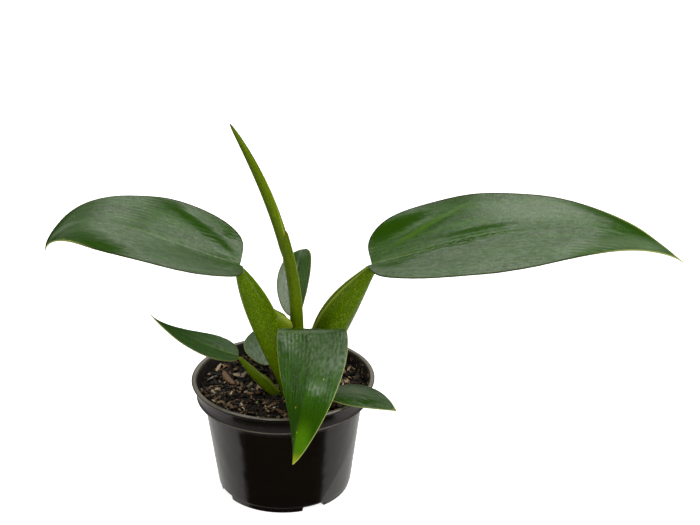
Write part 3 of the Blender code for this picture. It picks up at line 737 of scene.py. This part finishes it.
def splinters(name, places, halves, turns, colours, draw, finish):
    """Ragged splinters: four uneven rings and two ends each, turned by yaw, pitch and roll.

    A ring's points lie on a rounded box, moved in or out at random by up to a quarter."""
    count, columns = len(places), 6
    angle = around(columns)[0]
    round_box = np.stack([np.cos(angle), np.sin(angle)], -1)
    round_box = np.sign(round_box) * np.abs(round_box) ** 0.7
    scale = np.array([0.7, 1, 0.92, 0.6])[:, None, None]
    local = np.empty((count, 4, columns, 3))
    local[..., 0] = np.array([-0.78, -0.3, 0.34, 0.8])[:, None]
    local[..., 1:] = round_box * scale * draw.uniform(0.75, 1.25, (count, 4, columns))[..., None]
    poles = np.empty((count, 2, 3))
    poles[..., 0] = (-1, 1)
    poles[..., 1:] = draw.uniform(-0.4, 0.4, (count, 2, 2))
    local = np.concatenate([local.reshape(count, -1, 3), poles], 1) * halves[:, None]
    local[..., 2] -= draw.uniform(-0.25, 0.25, (count, 1)) * local[..., 0] ** 2 / halves[:, :1]
    yaw, pitch, roll = turns.T
    ahead = np.stack([np.cos(yaw) * np.cos(pitch), np.sin(yaw) * np.cos(pitch), np.sin(pitch)], -1)
    level = np.stack([-np.sin(yaw), np.cos(yaw), np.zeros(count)], -1)
    up = np.cross(ahead, level)
    wide = level * np.cos(roll)[:, None] + up * np.sin(roll)[:, None]
    axes = np.stack([ahead, wide, np.cross(ahead, wide)], 1)
    points = places[:, None] + np.einsum("nki,nij->nkj", local, axes)
    size = 4 * columns + 2
    pattern = split_quads(*ring_faces(4, columns)[:2])
    faces = (pattern + size * np.arange(count)[:, None, None]).reshape(-1, 3)
    mesh = bpy.data.meshes.new(name)
    mesh.from_pydata(points.reshape(-1, 3) * MM, [], faces.tolist())
    tint = np.hstack([np.repeat(colours, size, axis=0), np.ones((count * size, 1))])
    layer = mesh.attributes.new("tint", "FLOAT_COLOR", "POINT")
    layer.data.foreach_set("color", tint.astype(np.float32).ravel())
    dress(add_piece(name, mesh), "potting_mix", finish)


def bark_colours(draw, count):
    """Random colours from dark peat over reddish and grey bark to a few pale splinters."""
    palette = np.array([
        (0.0015, 0.001, 0.0006), (0.03, 0.019, 0.01), (0.24, 0.155, 0.082),
        (0.16, 0.086, 0.043), (0.36, 0.28, 0.18), (0.62, 0.49, 0.32),
    ])
    pick = draw.choice(len(palette), count, p=(0.5, 0.2, 0.17, 0.08, 0.035, 0.015))
    return palette[pick] * draw.uniform(0.6, 1.4, (count, 1))


def build_bark(settings, finish):
    """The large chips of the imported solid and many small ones, on and half in the peat."""
    large = chip_draws(np.random.default_rng(11), CHIPS, 53, (4, 11), (1.6, 3.6), (0.8, 2.6))
    draw = np.random.default_rng(settings.seed)
    small = chip_draws(draw, settings.small_chips, 54.3, (1.6, 7), (0.6, 2.1), (-0.2, 3))
    fibres = chip_draws(draw, FIBRES, 52, (5, 14), (0.25, 0.5), (0.8, 2))
    marked = np.array([
        (x, y, math.radians(turn), size / 2, wide / 2, rise, 0)
        for x, y, turn, size, wide, rise, _ in MARKED_CHIPS
    ])
    x, y, turn, long, wide, rise, tilt = np.concatenate([large, small, fibres, marked]).T
    count = len(x)
    near_stem = np.hypot(x - STEM_AT[0], y - STEM_AT[1])
    lift = rise * np.clip(near_stem / 26, 0.25, 1) - 0.35
    inward = np.minimum(1, CHIP_REACH / (np.hypot(x, y) + 0.5 * long))
    x, y = x * inward, y * inward
    places = np.stack([x, y, soil_height(x, y) + lift], -1)
    thick = np.minimum(wide * draw.uniform(0.3, 0.8, count), 0.8)
    pitch, roll = np.arctan(tilt) + draw.normal(0, 0.25, count), draw.normal(0, 0.5, count)
    halves, turns = np.stack([long, wide, thick], -1), np.stack([turn, pitch, roll], -1)
    colours = bark_colours(draw, count)
    colours[:CHIPS] *= 0.7
    # Chips lighter towards the right: painted light against the shade of the pot's wall and the leaves
    # there.
    colours *= (1.1 + 0.7 * step(x, 15, 40))[:, None]
    colours[-FIBRES - len(marked):] = (0.16, 0.125, 0.09)
    colours[-len(marked):] = [chip[-1] for chip in MARKED_CHIPS]
    splinters("bark_chips", places, halves, turns, colours, draw, finish)


def build_crumbs(settings, finish):
    """Crumbs and fibres that stick to the pot's inner wall above the soil, most on the right."""
    draw = np.random.default_rng(settings.seed + 1)
    count = settings.wall_crumbs
    angle = draw.normal(0.25, 0.55, count)
    angle[: count // 4] = draw.uniform(0, 2 * math.pi, count // 4)
    height = SOIL_LEVEL + 1.5 + 8 * draw.uniform(0, 1, count) ** 1.4
    radius = BAND_RADIUS - WALL - 0.8 + (height - BAND_BOTTOM - 1.8) * 0.13 - 0.35
    places = np.stack([radius * np.cos(angle), radius * np.sin(angle), height], -1)
    ranges = (0.3, 1.9), (0.2, 0.5), (0.15, 0.35)
    halves = np.stack([draw.uniform(low, high, count) for low, high in ranges], -1)
    pitch, roll = draw.uniform(-1.4, 1.4, count), draw.normal(math.pi / 2, 0.2, count)
    turns = np.stack([angle + math.pi / 2, pitch, roll], -1)
    colours = bark_colours(draw, count) * 0.8 + 0.012
    splinters("wall_crumbs", places, halves, turns, colours, draw, finish)


# Finishes


def arithmetic(name, swapped=False):
    """A method of Value that adds a Math node to its tree."""

    def method(self, other):
        return self.tree.math(name, *((other, self) if swapped else (self, other)))

    return method


class Value:
    """A socket in an expression."""

    def __init__(self, tree, socket):
        self.tree = tree
        self.socket = socket

    __add__ = __radd__ = arithmetic("ADD")
    __mul__ = __rmul__ = arithmetic("MULTIPLY")
    __sub__, __rsub__ = arithmetic("SUBTRACT"), arithmetic("SUBTRACT", True)
    __truediv__, __rtruediv__ = arithmetic("DIVIDE"), arithmetic("DIVIDE", True)


class Tree:
    """The nodes of a material or of the world."""

    def __init__(self, owner):
        owner.use_nodes = True
        self.owner = owner
        self.nodes = owner.node_tree.nodes
        self.links = owner.node_tree.links
        self.shader = self.nodes.get("Principled BSDF")

    def set(self, socket, value):
        """Links a value to a socket, or sets a number or a colour on it."""
        if isinstance(value, Value):
            self.links.new(value.socket, socket)
        else:
            socket.default_value = (*value, 1) if socket.type == "RGBA" else value

    def node(self, kind, settings=None, inputs=None, output=0):
        """Adds a node: its settings first, then the values or links of its inputs."""
        node = self.nodes.new("ShaderNode" + kind)
        for key, value in (settings or {}).items():
            setattr(node, key, value)
        for key, value in (inputs or {}).items():
            self.set(node.inputs[key], value)
        return Value(self, node.outputs[output])

    def math(self, operation, *values):
        return self.node("Math", {"operation": operation}, dict(enumerate(values)))

    def distance(self, a, b):
        """The root of the sum of two squares."""
        return self.math("SQRT", a * a + b * b)

    def step(self, value, low, high):
        """A smooth step from 0 at low to 1 at high."""
        inputs = {"Value": value, "From Min": low, "From Max": high}
        return self.node("MapRange", {"interpolation_type": "SMOOTHSTEP"}, inputs)

    def mix(self, share, low, high):
        """A colour between two colours."""
        return self.node("Mix", {"data_type": "RGBA"}, {0: share, 6: low, 7: high}, 2)

    def layers(self, colour, *layers):
        """A colour with others laid over it in turn, each by its share."""
        for share, over in layers:
            colour = self.mix(share, colour, over)
        return colour

    def mark(self, name):
        """A number stored on the mesh's points."""
        return self.node("Attribute", {"attribute_name": name}, output="Fac")

    def place(self):
        """The point on the piece, in metres."""
        return self.node("TexCoord", output="Object")

    def parts(self, vector):
        """The x, y and z of a vector."""
        split = self.node("SeparateXYZ", None, {"Vector": vector})
        return [Value(self, output) for output in split.socket.node.outputs]

    def join(self, x, y):
        """A vector from its x and y."""
        return self.node("CombineXYZ", None, {"X": x, "Y": y})

    def surface(self):
        """The two coordinates of the piece's own UV map, in millimetres."""
        return self.parts(self.node("UVMap", {"uv_map": "surface"}))[:2]

    def noise(self, scale, detail=2, rough=0.5, place=None):
        place = place or self.place()
        inputs = {"Vector": place, "Scale": scale, "Detail": detail, "Roughness": rough}
        return self.node("TexNoise", None, inputs)

    def rows(self, x, y, detail=2, rough=0.5):
        """Noise over two values of the surface."""
        return self.noise(1, detail, rough, self.join(x, y))

    def paint(self, colour, rough, height, strength, depth):
        """Gives the shader its colour, roughness and relief, and returns the material."""
        relief = {"Height": height, "Strength": strength, "Distance": depth}
        values = {"Base Color": colour, "Roughness": rough, "Normal": self.node("Bump", None, relief)}
        for key, value in values.items():
            self.set(self.shader.inputs[key], value)
        return self.owner


def new_finish(name, **constants):
    """A new material's tree, with constant sockets of its Principled shader set."""
    tree = Tree(bpy.data.materials.new(name))
    for key, value in constants.items():
        tree.set(tree.shader.inputs[key.replace("_", " ").title().replace("Ior", "IOR")], value)
    return tree


def blade_finish(name, leaf, settings):
    """A leathery leaf: deep green with fine streaks that run lengthwise between midrib and margin.

    The streaks are noise over the share of the length and the share of the half width, so they
    spread and close with the blade. A clear skin gives the sheen, which the fine grain and the
    creases break up and which is missing in the patches of painted shade. Pale patches paint a sheen
    into the colour. A line along the edge is pale, or dark as painted shade, by the leaf's rim, and
    flecks are spots at (run, side) with a radius."""
    tree = new_finish(name, specular_ior_level=0.04, coat_roughness=settings.gloss, coat_ior=1.5)
    run, side = tree.surface()
    share, across, margin, under, ridge = (
        tree.mark(mark) for mark in ("share", "across", "margin", "under", "ridge")
    )
    broad = tree.rows(share * 4, across * 7, 3)
    streak = tree.rows(share * 7, across * 34)
    ripple = tree.rows(run * 0.12, side * 0.9, rough=0.6)
    grain = tree.noise(800, rough=0.6)
    fan = 1 - tree.step(share, 0.02, 0.2)
    green = tree.layers(
        tree.mix(tree.step(broad, 0.3, 0.7), settings.deep, settings.fresh),
        (tree.step(streak, 0.45, 0.8) * (0.2 + fan * 0.4), settings.vein),
        (tree.step(grain, 0.42, 0.62) * 0.4, [c * 0.45 for c in settings.deep]),
    )
    dull = 0
    for kind, at, beside, long, wide, amount, slant in leaf.patches:
        ahead = (share - at) / long
        aside = (side - beside - (share - at) * slant) / wide
        ragged = tree.distance(ahead, aside) + (ripple - 0.5) * 0.8
        oval = (1 - tree.step(ragged, 0.3, 1.4)) * amount
        # Dashes are painted shade broken into short strokes.
        if kind == "dashes":
            oval *= tree.step(tree.rows(run * 0.35, side * 1.3), 0.47, 0.58)
            kind = "shade"
        green = tree.mix(oval, green, getattr(settings, kind))
        if kind == "shade":
            dull = tree.math("MAXIMUM", dull, oval)
    strength, end, wide = leaf.rib
    rib = 1 - tree.step(tree.math("ABSOLUTE", side), wide * 0.2, wide - share * wide * 0.7)
    rib *= 1 - tree.step(share, end * 0.4, end)
    tip = tree.step(share, 0.96 - 0.03 * leaf.rim, 1)
    green = tree.layers(green, (rib * strength, settings.vein), (tip * 0.7, settings.tip))
    for at, beside, radius in leaf.flecks:
        spot = 1 - tree.step(tree.distance(run - at, side - beside), radius * 0.4, radius)
        green = tree.mix(spot * 0.8, green, settings.tip)
    width = settings.margin / MM * (2.6 - 1.6 * leaf.rim)
    edge = 1 - tree.step(margin, width * 0.55, width * 1.2)
    pale = tree.step(share, 0.6, 0.8) * (1 - leaf.rim) + leaf.rim
    green = tree.layers(
        green, (under, tree.mix(streak * 0.5, settings.underside, settings.fresh)),
        (edge * 0.85, tree.mix(pale, settings.painted_edge_shade, settings.edge)),
    )
    dull = tree.step(dull + (grain - 0.5) * 0.8, 0.02, 0.98)
    sheen = (1 - dull) * (1 - edge * 0.7) * (1 - under * 0.7) * leaf.sheen
    broken = 0.56 + tree.step(grain, 0.38, 0.62) * 0.46 + tree.step(ripple, 0.4, 0.6) * 0.2
    broken = broken * (1 + ridge * 0.26) + (streak - 0.5) * fan * 1.3
    tree.set(tree.shader.inputs["Coat Weight"], sheen * broken)
    height = grain * 0.3 + ripple * 0.3 + streak * 0.14
    return tree.paint(green, 0.4 + grain * 0.2, height, settings.relief, 0.0004)


def stalk_finish(name, settings, foot, top, dry=False):
    """A smooth stalk: dark rows and a fine pale net run up it, its wings are light, and its lips carry a
    painted highlight.

    The net is the edges of stretched cells. dry gives a new leaf's skin, whose colour changes
    higher up and which is brown where it has dried."""
    tree = new_finish(
        name, specular_ior_level=0, coat_weight=1, coat_roughness=0.2, coat_ior=1.25,
        sheen_weight=0.5, sheen_roughness=0.13,
    )
    run, turn = tree.surface()
    clouds = tree.noise(45, 3)
    rows = tree.rows(run * 0.1, turn * 1.2)
    fine = tree.noise(900, rough=0.6)
    cells = {"Vector": tree.join(run * 0.6, turn * 1.9), "Scale": 1, "Randomness": 0.6}
    cells = tree.node("TexVoronoi", {"feature": "DISTANCE_TO_EDGE"}, cells)
    net = 1 - tree.step(cells, 0.03, 0.17)
    rise = tree.step(tree.mark("share") + clouds * 0.25, 0.1 + dry * 0.25, 0.75 + dry * 0.25)
    colour = tree.layers(
        tree.mix(rise, foot, top), (tree.step(rows, 0.35, 0.7) * 0.2, settings.streak),
        (tree.step(fine, 0.42, 0.6) * 0.2, settings.dots), (0.5 - net * 0.5, settings.streak),
        (net * (0.35 if dry else 0.6), settings.dots), (tree.mark("wing") * 0.75, settings.wing),
        (tree.mark("lip_and_highlight") * 0.75, settings.lip_and_highlight),
    )
    if dry:
        colour = tree.mix(tree.mark("dry") * 0.9, colour, settings.dry)
    return tree.paint(colour, 0.36 + clouds * 0.14, fine + rows * 0.5 - net * 0.5, 0.4, 0.0003)


def pot_finish(settings):
    """Moulded black plastic: glossy outside with faint ripples and scuffs, dusty matt inside.

    Dust lies on the lip's top, and the lip is lighter a little lower at the left and right. The
    band's left gets a painted sheen, the bead at its lower edge a painted highlight and the low right
    front a painted reflection, in the colours of dust and lip."""
    tree = new_finish("pot_plastic_black", specular_ior_level=0.5)
    place = tree.place()
    x, y, z = tree.parts(place)
    inside = tree.step(z, 0.06, 0.0655) * (1 - tree.step(tree.distance(x, y), 0.0566, 0.0572))
    dust_and_sheen = tree.noise(220, 4, 0.65)
    flattened = tree.node("Mapping", None, {"Vector": place, "Scale": (60, 60, 900)})
    scuff = tree.step(tree.noise(1, 3, place=flattened), 0.66, 0.8)
    sides = tree.step(tree.math("ABSOLUTE", x + 0.003), 0.035, 0.056)
    sides *= 1 - tree.step(x, 0.02, 0.05) * 0.6
    top = tree.step(z, 0.0778, 0.0782) + tree.step(z, 0.0763, 0.0768) * sides * 0.8
    # Painted highlight: a thin light line along the bead at the band's lower edge.
    bead_highlight = tree.step(z, 0.0665, 0.0667) * (1 - tree.step(z, 0.067, 0.0673)) * (1 - inside)
    # Painted sheen on the band's left, in the dust's colour.
    band = tree.step(z, 0.0657, 0.066) * (1 - inside) * tree.step(x, -0.02, -0.052)
    # Painted reflection low on the right front, in the dust's colour.
    corner_reflection = tree.step(x - z * 0.625, 0.0211, 0.0221) * tree.step(z, 0.066, 0.062)
    corner_reflection *= tree.step(y, -0.004, -0.022)
    colour = tree.layers(
        settings.plastic, (inside * (0.1 + dust_and_sheen * 0.4), settings.dust_and_sheen),
        (top * (0.3 + dust_and_sheen * 0.6), settings.lip_and_highlight), (band * (0.1 + dust_and_sheen * 0.4), settings.dust_and_sheen),
        (bead_highlight * 0.8, settings.lip_and_highlight), (corner_reflection * (0.35 + dust_and_sheen * 0.5), settings.dust_and_sheen),
        (scuff * 0.15, (0.06, 0.058, 0.055)),
    )
    rough = settings.gloss + inside * 0.3 + scuff * 0.15 + dust_and_sheen * 0.05
    height = tree.noise(55) + dust_and_sheen * 0.02 + inside * dust_and_sheen * 0.3
    return tree.paint(colour, rough, height, 0.35, 0.0012)


def soil_finish():
    """Damp peat: almost black with brown grains."""
    tree = new_finish("peat_dark", specular_ior_level=0.3)
    grains = tree.noise(900, 4, 0.7)
    lumpy = tree.noise(320, 3)
    colour = tree.node("ValToRGB", None, {"Fac": grains * 0.6 + lumpy * 0.4})
    ramp = colour.socket.node.color_ramp.elements
    ramp.new(0.5)
    stops = {0.3: (0.003, 0.0022, 0.0016), 0.55: (0.012, 0.008, 0.005), 0.75: (0.05, 0.033, 0.02)}
    for element, (position, tint) in zip(ramp, stops.items()):
        element.position = position
        element.color = (*tint, 1)
    return tree.paint(colour, 0.75 + grains * 0.2, grains + lumpy, 0.8, 0.0006)


def bark_finish():
    """Bark splinters: each in its own tint, streaked along fine fibres."""
    tree = new_finish("bark_brown", specular_ior_level=0.25)
    fibres = tree.noise(1300, 3, 0.7)
    patches = tree.noise(420)
    colour = tree.layers(
        tree.node("Attribute", {"attribute_name": "tint"}, output="Color"),
        (tree.step(fibres, 0.4, 0.65) * 0.35, (0.01, 0.007, 0.004)),
        (tree.step(patches, 0.6, 0.75) * 0.15, (0.2, 0.15, 0.1)),
    )
    return tree.paint(colour, 0.45 + fibres * 0.25, fibres + patches * 0.5, 0.7, 0.0004)


def stem_finish():
    """The stem's dull skin: brown scales over green."""
    tree = new_finish("stem_skin_brown", specular_ior_level=0.4)
    scales = tree.noise(180, 4, 0.6)
    colour = tree.mix(tree.step(scales, 0.4, 0.6), (0.1, 0.075, 0.035), (0.07, 0.1, 0.02))
    return tree.paint(colour, 0.6 + scales * 0.2, scales, 0.5, 0.0006)


# Settings


def size_of(label, about, default):
    return FloatProperty(name=label, description=about, default=default, unit="LENGTH", precision=5)


def number_of(label, about, default):
    return FloatProperty(name=label, description=about, default=default, min=0.0)


def colour_of(label, about, default):
    return FloatVectorProperty(
        name=label, description="Colour of " + about, default=default, subtype="COLOR", min=0.0, max=1.0
    )


class PotSettings(bpy.types.PropertyGroup):
    plastic: colour_of("Plastic", "the pot's plastic", (0.003, 0.0022, 0.0014))
    # Dust inside the rim; the same colour paints the band's left sheen and the reflection low on the
    # right front.
    dust_and_sheen: colour_of("Dust", "the dust inside the rim", (0.035, 0.032, 0.028))
    # Dust on the lip; the same colour paints the highlight along the band's bead.
    lip_and_highlight: colour_of("Lip", "the dusty lip", (0.18, 0.155, 0.12))
    gloss: number_of("Roughness", "Roughness of the outer wall", 0.12)


class SoilSettings(bpy.types.PropertyGroup):
    small_chips: IntProperty(name="Small chips", description="Number of small bark chips", default=2700)
    wall_crumbs: IntProperty(name="Wall crumbs", description="Number of crumbs on the wall", default=260)
    seed: IntProperty(name="Seed", description="Seed of the random draws", default=5)


class BladeSettings(bpy.types.PropertyGroup):
    thickness: size_of("Thickness", "Thickness of a blade", 0.0007)
    margin: size_of("Margin", "Width of the line along the edge", 0.00045)
    pucker: size_of("Pucker", "Height of the puckers beside the midrib", 0.00035)
    crease: size_of("Crease", "Height of the lengthwise creases", 0.00007)
    wave: size_of("Wave", "Height of the waves along the margin", 0.0007)
    gloss: number_of("Roughness", "Roughness of the clear skin", 0.16)
    relief: number_of("Fine relief", "Strength of the fine relief", 0.8)
    deep: colour_of("Deep green", "the darkest places", (0.013, 0.048, 0.0002))
    fresh: colour_of("Fresh green", "the lightest places", (0.0225, 0.08, 0.0003))
    # Painted shade: deep green for the places that would mirror the dark front of the room.
    shade: colour_of("Shade", "the dull patches", (0.0135, 0.046, 0.0001))
    # The bright streak also paints light: shining through the front leaf's tip, and falling on the back
    # leaf's right half.
    streak: colour_of("Bright streak", "the bright streaks", (0.05, 0.13, 0.001))
    # Painted sheen: a pale grey-green where the clear skin would mirror the softboxes.
    painted_sheen: colour_of("Bloom", "the pale patches", (0.115, 0.16, 0.09))
    vein: colour_of("Veins", "the veins and the midrib", (0.06, 0.12, 0.003))
    tip: colour_of("Tip", "the tip and the flecks", (0.3, 0.32, 0.01))
    edge: colour_of("Margin", "a pale edge", (0.23, 0.26, 0.08))
    # Painted shade: a dark line along the margin where it turns under.
    painted_edge_shade: colour_of("Dark margin", "a dark edge", (0.02, 0.026, 0.004))
    underside: colour_of("Underside", "the lower face", (0.07, 0.13, 0.015))


class StalkSettings(bpy.types.PropertyGroup):
    sheath_wall: size_of("Sheath wall", "Thickness of the new leaf's sheath", 0.00065)
    roll_radius: size_of("Roll radius", "Radius of the rolled blade at the mouth", 0.0038)
    foot: colour_of("Foot", "the stalk near the soil", (0.09, 0.138, 0.0002))
    top: colour_of("Top", "the stalk near the blade", (0.04, 0.082, 0.0002))
    streak: colour_of("Streaks", "the lengthwise rows", (0.018, 0.042, 0.0001))
    dots: colour_of("Net", "the fine pale net", (0.1, 0.16, 0.001))
    # The wing colour also paints light on the right side of the sheath and of the rolled blade.
    wing: colour_of("Wing", "the sheath's wings", (0.21, 0.29, 0.001))
    # The lip colour is a painted highlight along the stalks' grooves and the new leaf's edges.
    lip_and_highlight: colour_of("Lip", "the groove's lips", (0.26, 0.32, 0.04))
    dry: colour_of("Dry edge", "the sheath's dry mouth", (0.09, 0.035, 0.008))
    roll: colour_of("Rolled blade", "the rolled blade", (0.024, 0.036, 0.003))


class StageSettings(bpy.types.PropertyGroup):
    floor: colour_of("Floor", "the floor", (0.9, 0.9, 0.9))
    glow: number_of("Floor light", "Light the floor gives off", 0.75)
    fill: FloatProperty(
        name="Fill", description="Power of the lamp behind the camera", default=23.0, unit="POWER"
    )
    fill_size: size_of("Fill size", "Width of the lamp behind the camera", 1.2)
    sky: number_of("Softboxes", "Strength of the softboxes", 1.0)


# Operators


class PotOperator(bpy.types.Operator):
    """Builds the pot"""

    bl_idname = "plant.pot"
    bl_label = "Pot"

    def execute(self, context):
        build_pot(pot_finish(context.scene.plant_pot))
        return {"FINISHED"}


class SoilOperator(bpy.types.Operator):
    """Builds the peat, the bark chips on it and the crumbs on the pot's wall"""

    bl_idname = "plant.soil"
    bl_label = "Soil"

    def execute(self, context):
        settings = context.scene.plant_soil
        bark = bark_finish()
        build_soil(soil_finish())
        build_bark(settings, bark)
        build_crumbs(settings, bark)
        return {"FINISHED"}


class StemOperator(bpy.types.Operator):
    """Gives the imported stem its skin"""

    bl_idname = "plant.stem"
    bl_label = "Stem"

    def execute(self, context):
        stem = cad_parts["stem"]
        stem.data.materials.clear()
        stem.data.materials.append(stem_finish())
        return {"FINISHED"}


class StalkOperator(bpy.types.Operator):
    """Builds the seven leaf stalks"""

    bl_idname = "plant.stalks"
    bl_label = "Leaf stalks"

    def execute(self, context):
        settings = context.scene.plant_stalks
        skin = stalk_finish("stalk_green", settings, settings.foot, settings.top)
        for number, (name, leaf) in enumerate(LEAVES.items()):
            build_stalk(name, leaf, number, skin)
        return {"FINISHED"}


class BladeOperator(bpy.types.Operator):
    """Builds the seven leaf blades"""

    bl_idname = "plant.blades"
    bl_label = "Leaf blades"

    def execute(self, context):
        settings = context.scene.plant_blades
        for number, (name, leaf) in enumerate(LEAVES.items()):
            green = blade_finish(name + "_green", leaf, settings)
            build_blade(name, leaf, number, settings, green)
        return {"FINISHED"}


class NewLeafOperator(bpy.types.Operator):
    """Builds the new leaf's sheath and its rolled blade"""

    bl_idname = "plant.new_leaf"
    bl_label = "New leaf"

    def execute(self, context):
        settings = context.scene.plant_stalks
        # The sheath's foot is 2.3 times as light as a stalk's: painted light against the shade low
        # between the stalks.
        foot, roll = [2.3 * c for c in settings.foot], settings.roll
        tip = [0.5 * c for c in roll]
        build_sheath(settings, stalk_finish("sheath_green", settings, foot, roll, dry=True))
        build_rolled_blade(settings, stalk_finish("roll_green", settings, roll, tip, dry=True))
        return {"FINISHED"}


class StageOperator(bpy.types.Operator):
    """Sets up the pale floor, the soft light and the camera"""

    bl_idname = "plant.stage"
    bl_label = "Stage"

    def execute(self, context):
        settings = context.scene.plant_stage
        build_floor(settings)
        build_light(settings)
        build_sky(context.scene, settings)
        build_camera(context.scene)
        context.scene.view_settings.view_transform = "Standard"
        return {"FINISHED"}


def build_floor(settings):
    """A wide pale disc. Glossy surfaces don't mirror it, as they would mirror a dark room."""
    bpy.ops.mesh.primitive_circle_add(vertices=64, radius=FLOOR_RADIUS, fill_type="NGON")
    floor = bpy.context.object
    floor.name = "floor"
    tree = new_finish(
        "floor_white", roughness=0.9, specular_ior_level=0, emission_color=(1, 1, 1),
        emission_strength=settings.glow,
    )
    tone = tree.mix(tree.noise(3) * 0.05, settings.floor, (0.86, 0.86, 0.86))
    tree.set(tree.shader.inputs["Base Color"], tone)
    floor.data.materials.append(tree.owner)
    floor.visible_glossy = False


def build_light(settings):
    """A wide fill lamp behind the camera. Glossy surfaces don't mirror it."""
    light = bpy.data.lights.new("fill", "AREA")
    light.energy = settings.fill
    light.size = settings.fill_size
    lamp = bpy.data.objects.new("fill", light)
    lamp.location = FILL_AT
    lamp.rotation_euler = (math.radians(FILL_TILT), 0, math.radians(FILL_TURN))
    lamp.visible_glossy = False
    bpy.context.scene.collection.objects.link(lamp)


def build_sky(scene, settings):
    """Softboxes as bright parts of the sky, round a room that is dark in front.

    A strong one stands to the right, a tall one behind, brightest at its top, and a faint one to
    the left. A small lamp and a faint box with a dark gap hang overhead, and the ground is bright
    but for the front. Each is a product of smooth steps in the direction's parts x, y and z."""
    scene.world = bpy.data.worlds.new("studio")
    tree = Tree(scene.world)
    step = tree.step
    x, y, z = tree.parts(tree.node("TexCoord", output="Generated"))
    right = step(x, -0.05, 0.35) * step(z, 0.05, 0.35) * step(y, -0.62, -0.48)
    right *= 1 - step(x + y * 3, -0.15, 0.25) * (1 - step(z, 0.62, 0.72))
    tall = 0.2 + step(z, 0.28, 0.52) * 0.72 + step(z, 0.45, 0.65) * 0.3 + step(z, 0.6, 0.97) * 1.4
    behind = step(y, -0.15, 0.35) * step(z, -0.05, 0.15) * tall * (1 - step(x, -0.1, -0.45) * 0.5)
    left = step(x, -0.3, -0.6) * step(z, 0.15, 0.4) * 0.5
    lamp = 1 - step(tree.distance(x + 0.18, y + 0.34), 0.06, 0.13)
    gap = step(tree.distance(x + 0.11, y + 0.16), 0.06, 0.18)
    above = step(z, 0.86, 0.96) * (0.25 + gap * 0.85)
    level = tree.math("SQRT", x * x + y * y + 0.0001)
    low = step(z, -0.3, -0.5) * step(y / level, -0.29, -0.13) * 0.65
    strength = 0.008
    for part in (right * 3, behind, left, lamp * step(z, 0.5, 0.6) * 3.4, above, low):
        strength = tree.math("MAXIMUM", strength, part)
    background = tree.nodes["Background"]
    tree.set(background.inputs["Strength"], strength * settings.sky)
    tree.set(background.inputs["Color"], (1, 0.985, 0.955))


def build_camera(scene):
    """The view of the photograph."""
    camera = bpy.data.cameras.new("camera")
    camera.lens = CAMERA_LENS
    view = bpy.data.objects.new("camera", camera)
    view.location = CAMERA_AT
    view.rotation_euler = (math.radians(CAMERA_TILT), 0, 0)
    scene.collection.objects.link(view)
    scene.camera = view


class PlantPanel(bpy.types.Panel):
    bl_idname = "VIEW3D_PT_plant"
    bl_label = "Potted philodendron"
    bl_space_type = "VIEW_3D"
    bl_region_type = "UI"
    bl_category = "Plant"

    def draw(self, context):
        for operator in OPERATORS:
            self.layout.operator(operator.bl_idname)
        for name in SETTINGS:
            box = self.layout.box()
            group = getattr(context.scene, name)
            for key in group.__annotations__:
                box.prop(group, key)


OPERATORS = (
    PotOperator, SoilOperator, StemOperator, StalkOperator, BladeOperator, NewLeafOperator,
    StageOperator,
)
SETTINGS = {
    "plant_pot": PotSettings,
    "plant_soil": SoilSettings,
    "plant_blades": BladeSettings,
    "plant_stalks": StalkSettings,
    "plant_stage": StageSettings,
}


def register():
    for item in (*SETTINGS.values(), *OPERATORS, PlantPanel):
        bpy.utils.register_class(item)
    for name, group in SETTINGS.items():
        setattr(bpy.types.Scene, name, PointerProperty(type=group))


def unregister():
    for name in SETTINGS:
        delattr(bpy.types.Scene, name)
    for item in (PlantPanel, *reversed(OPERATORS), *reversed(tuple(SETTINGS.values()))):
        bpy.utils.unregister_class(item)


def main():
    for name in ("Cube", "Light", "Camera"):
        if name in bpy.data.objects:
            bpy.data.objects.remove(bpy.data.objects[name])
    register()
    for operator in OPERATORS:
        module, name = operator.bl_idname.split(".")
        getattr(getattr(bpy.ops, module), name)()


if __name__ == "__main__":
    main()
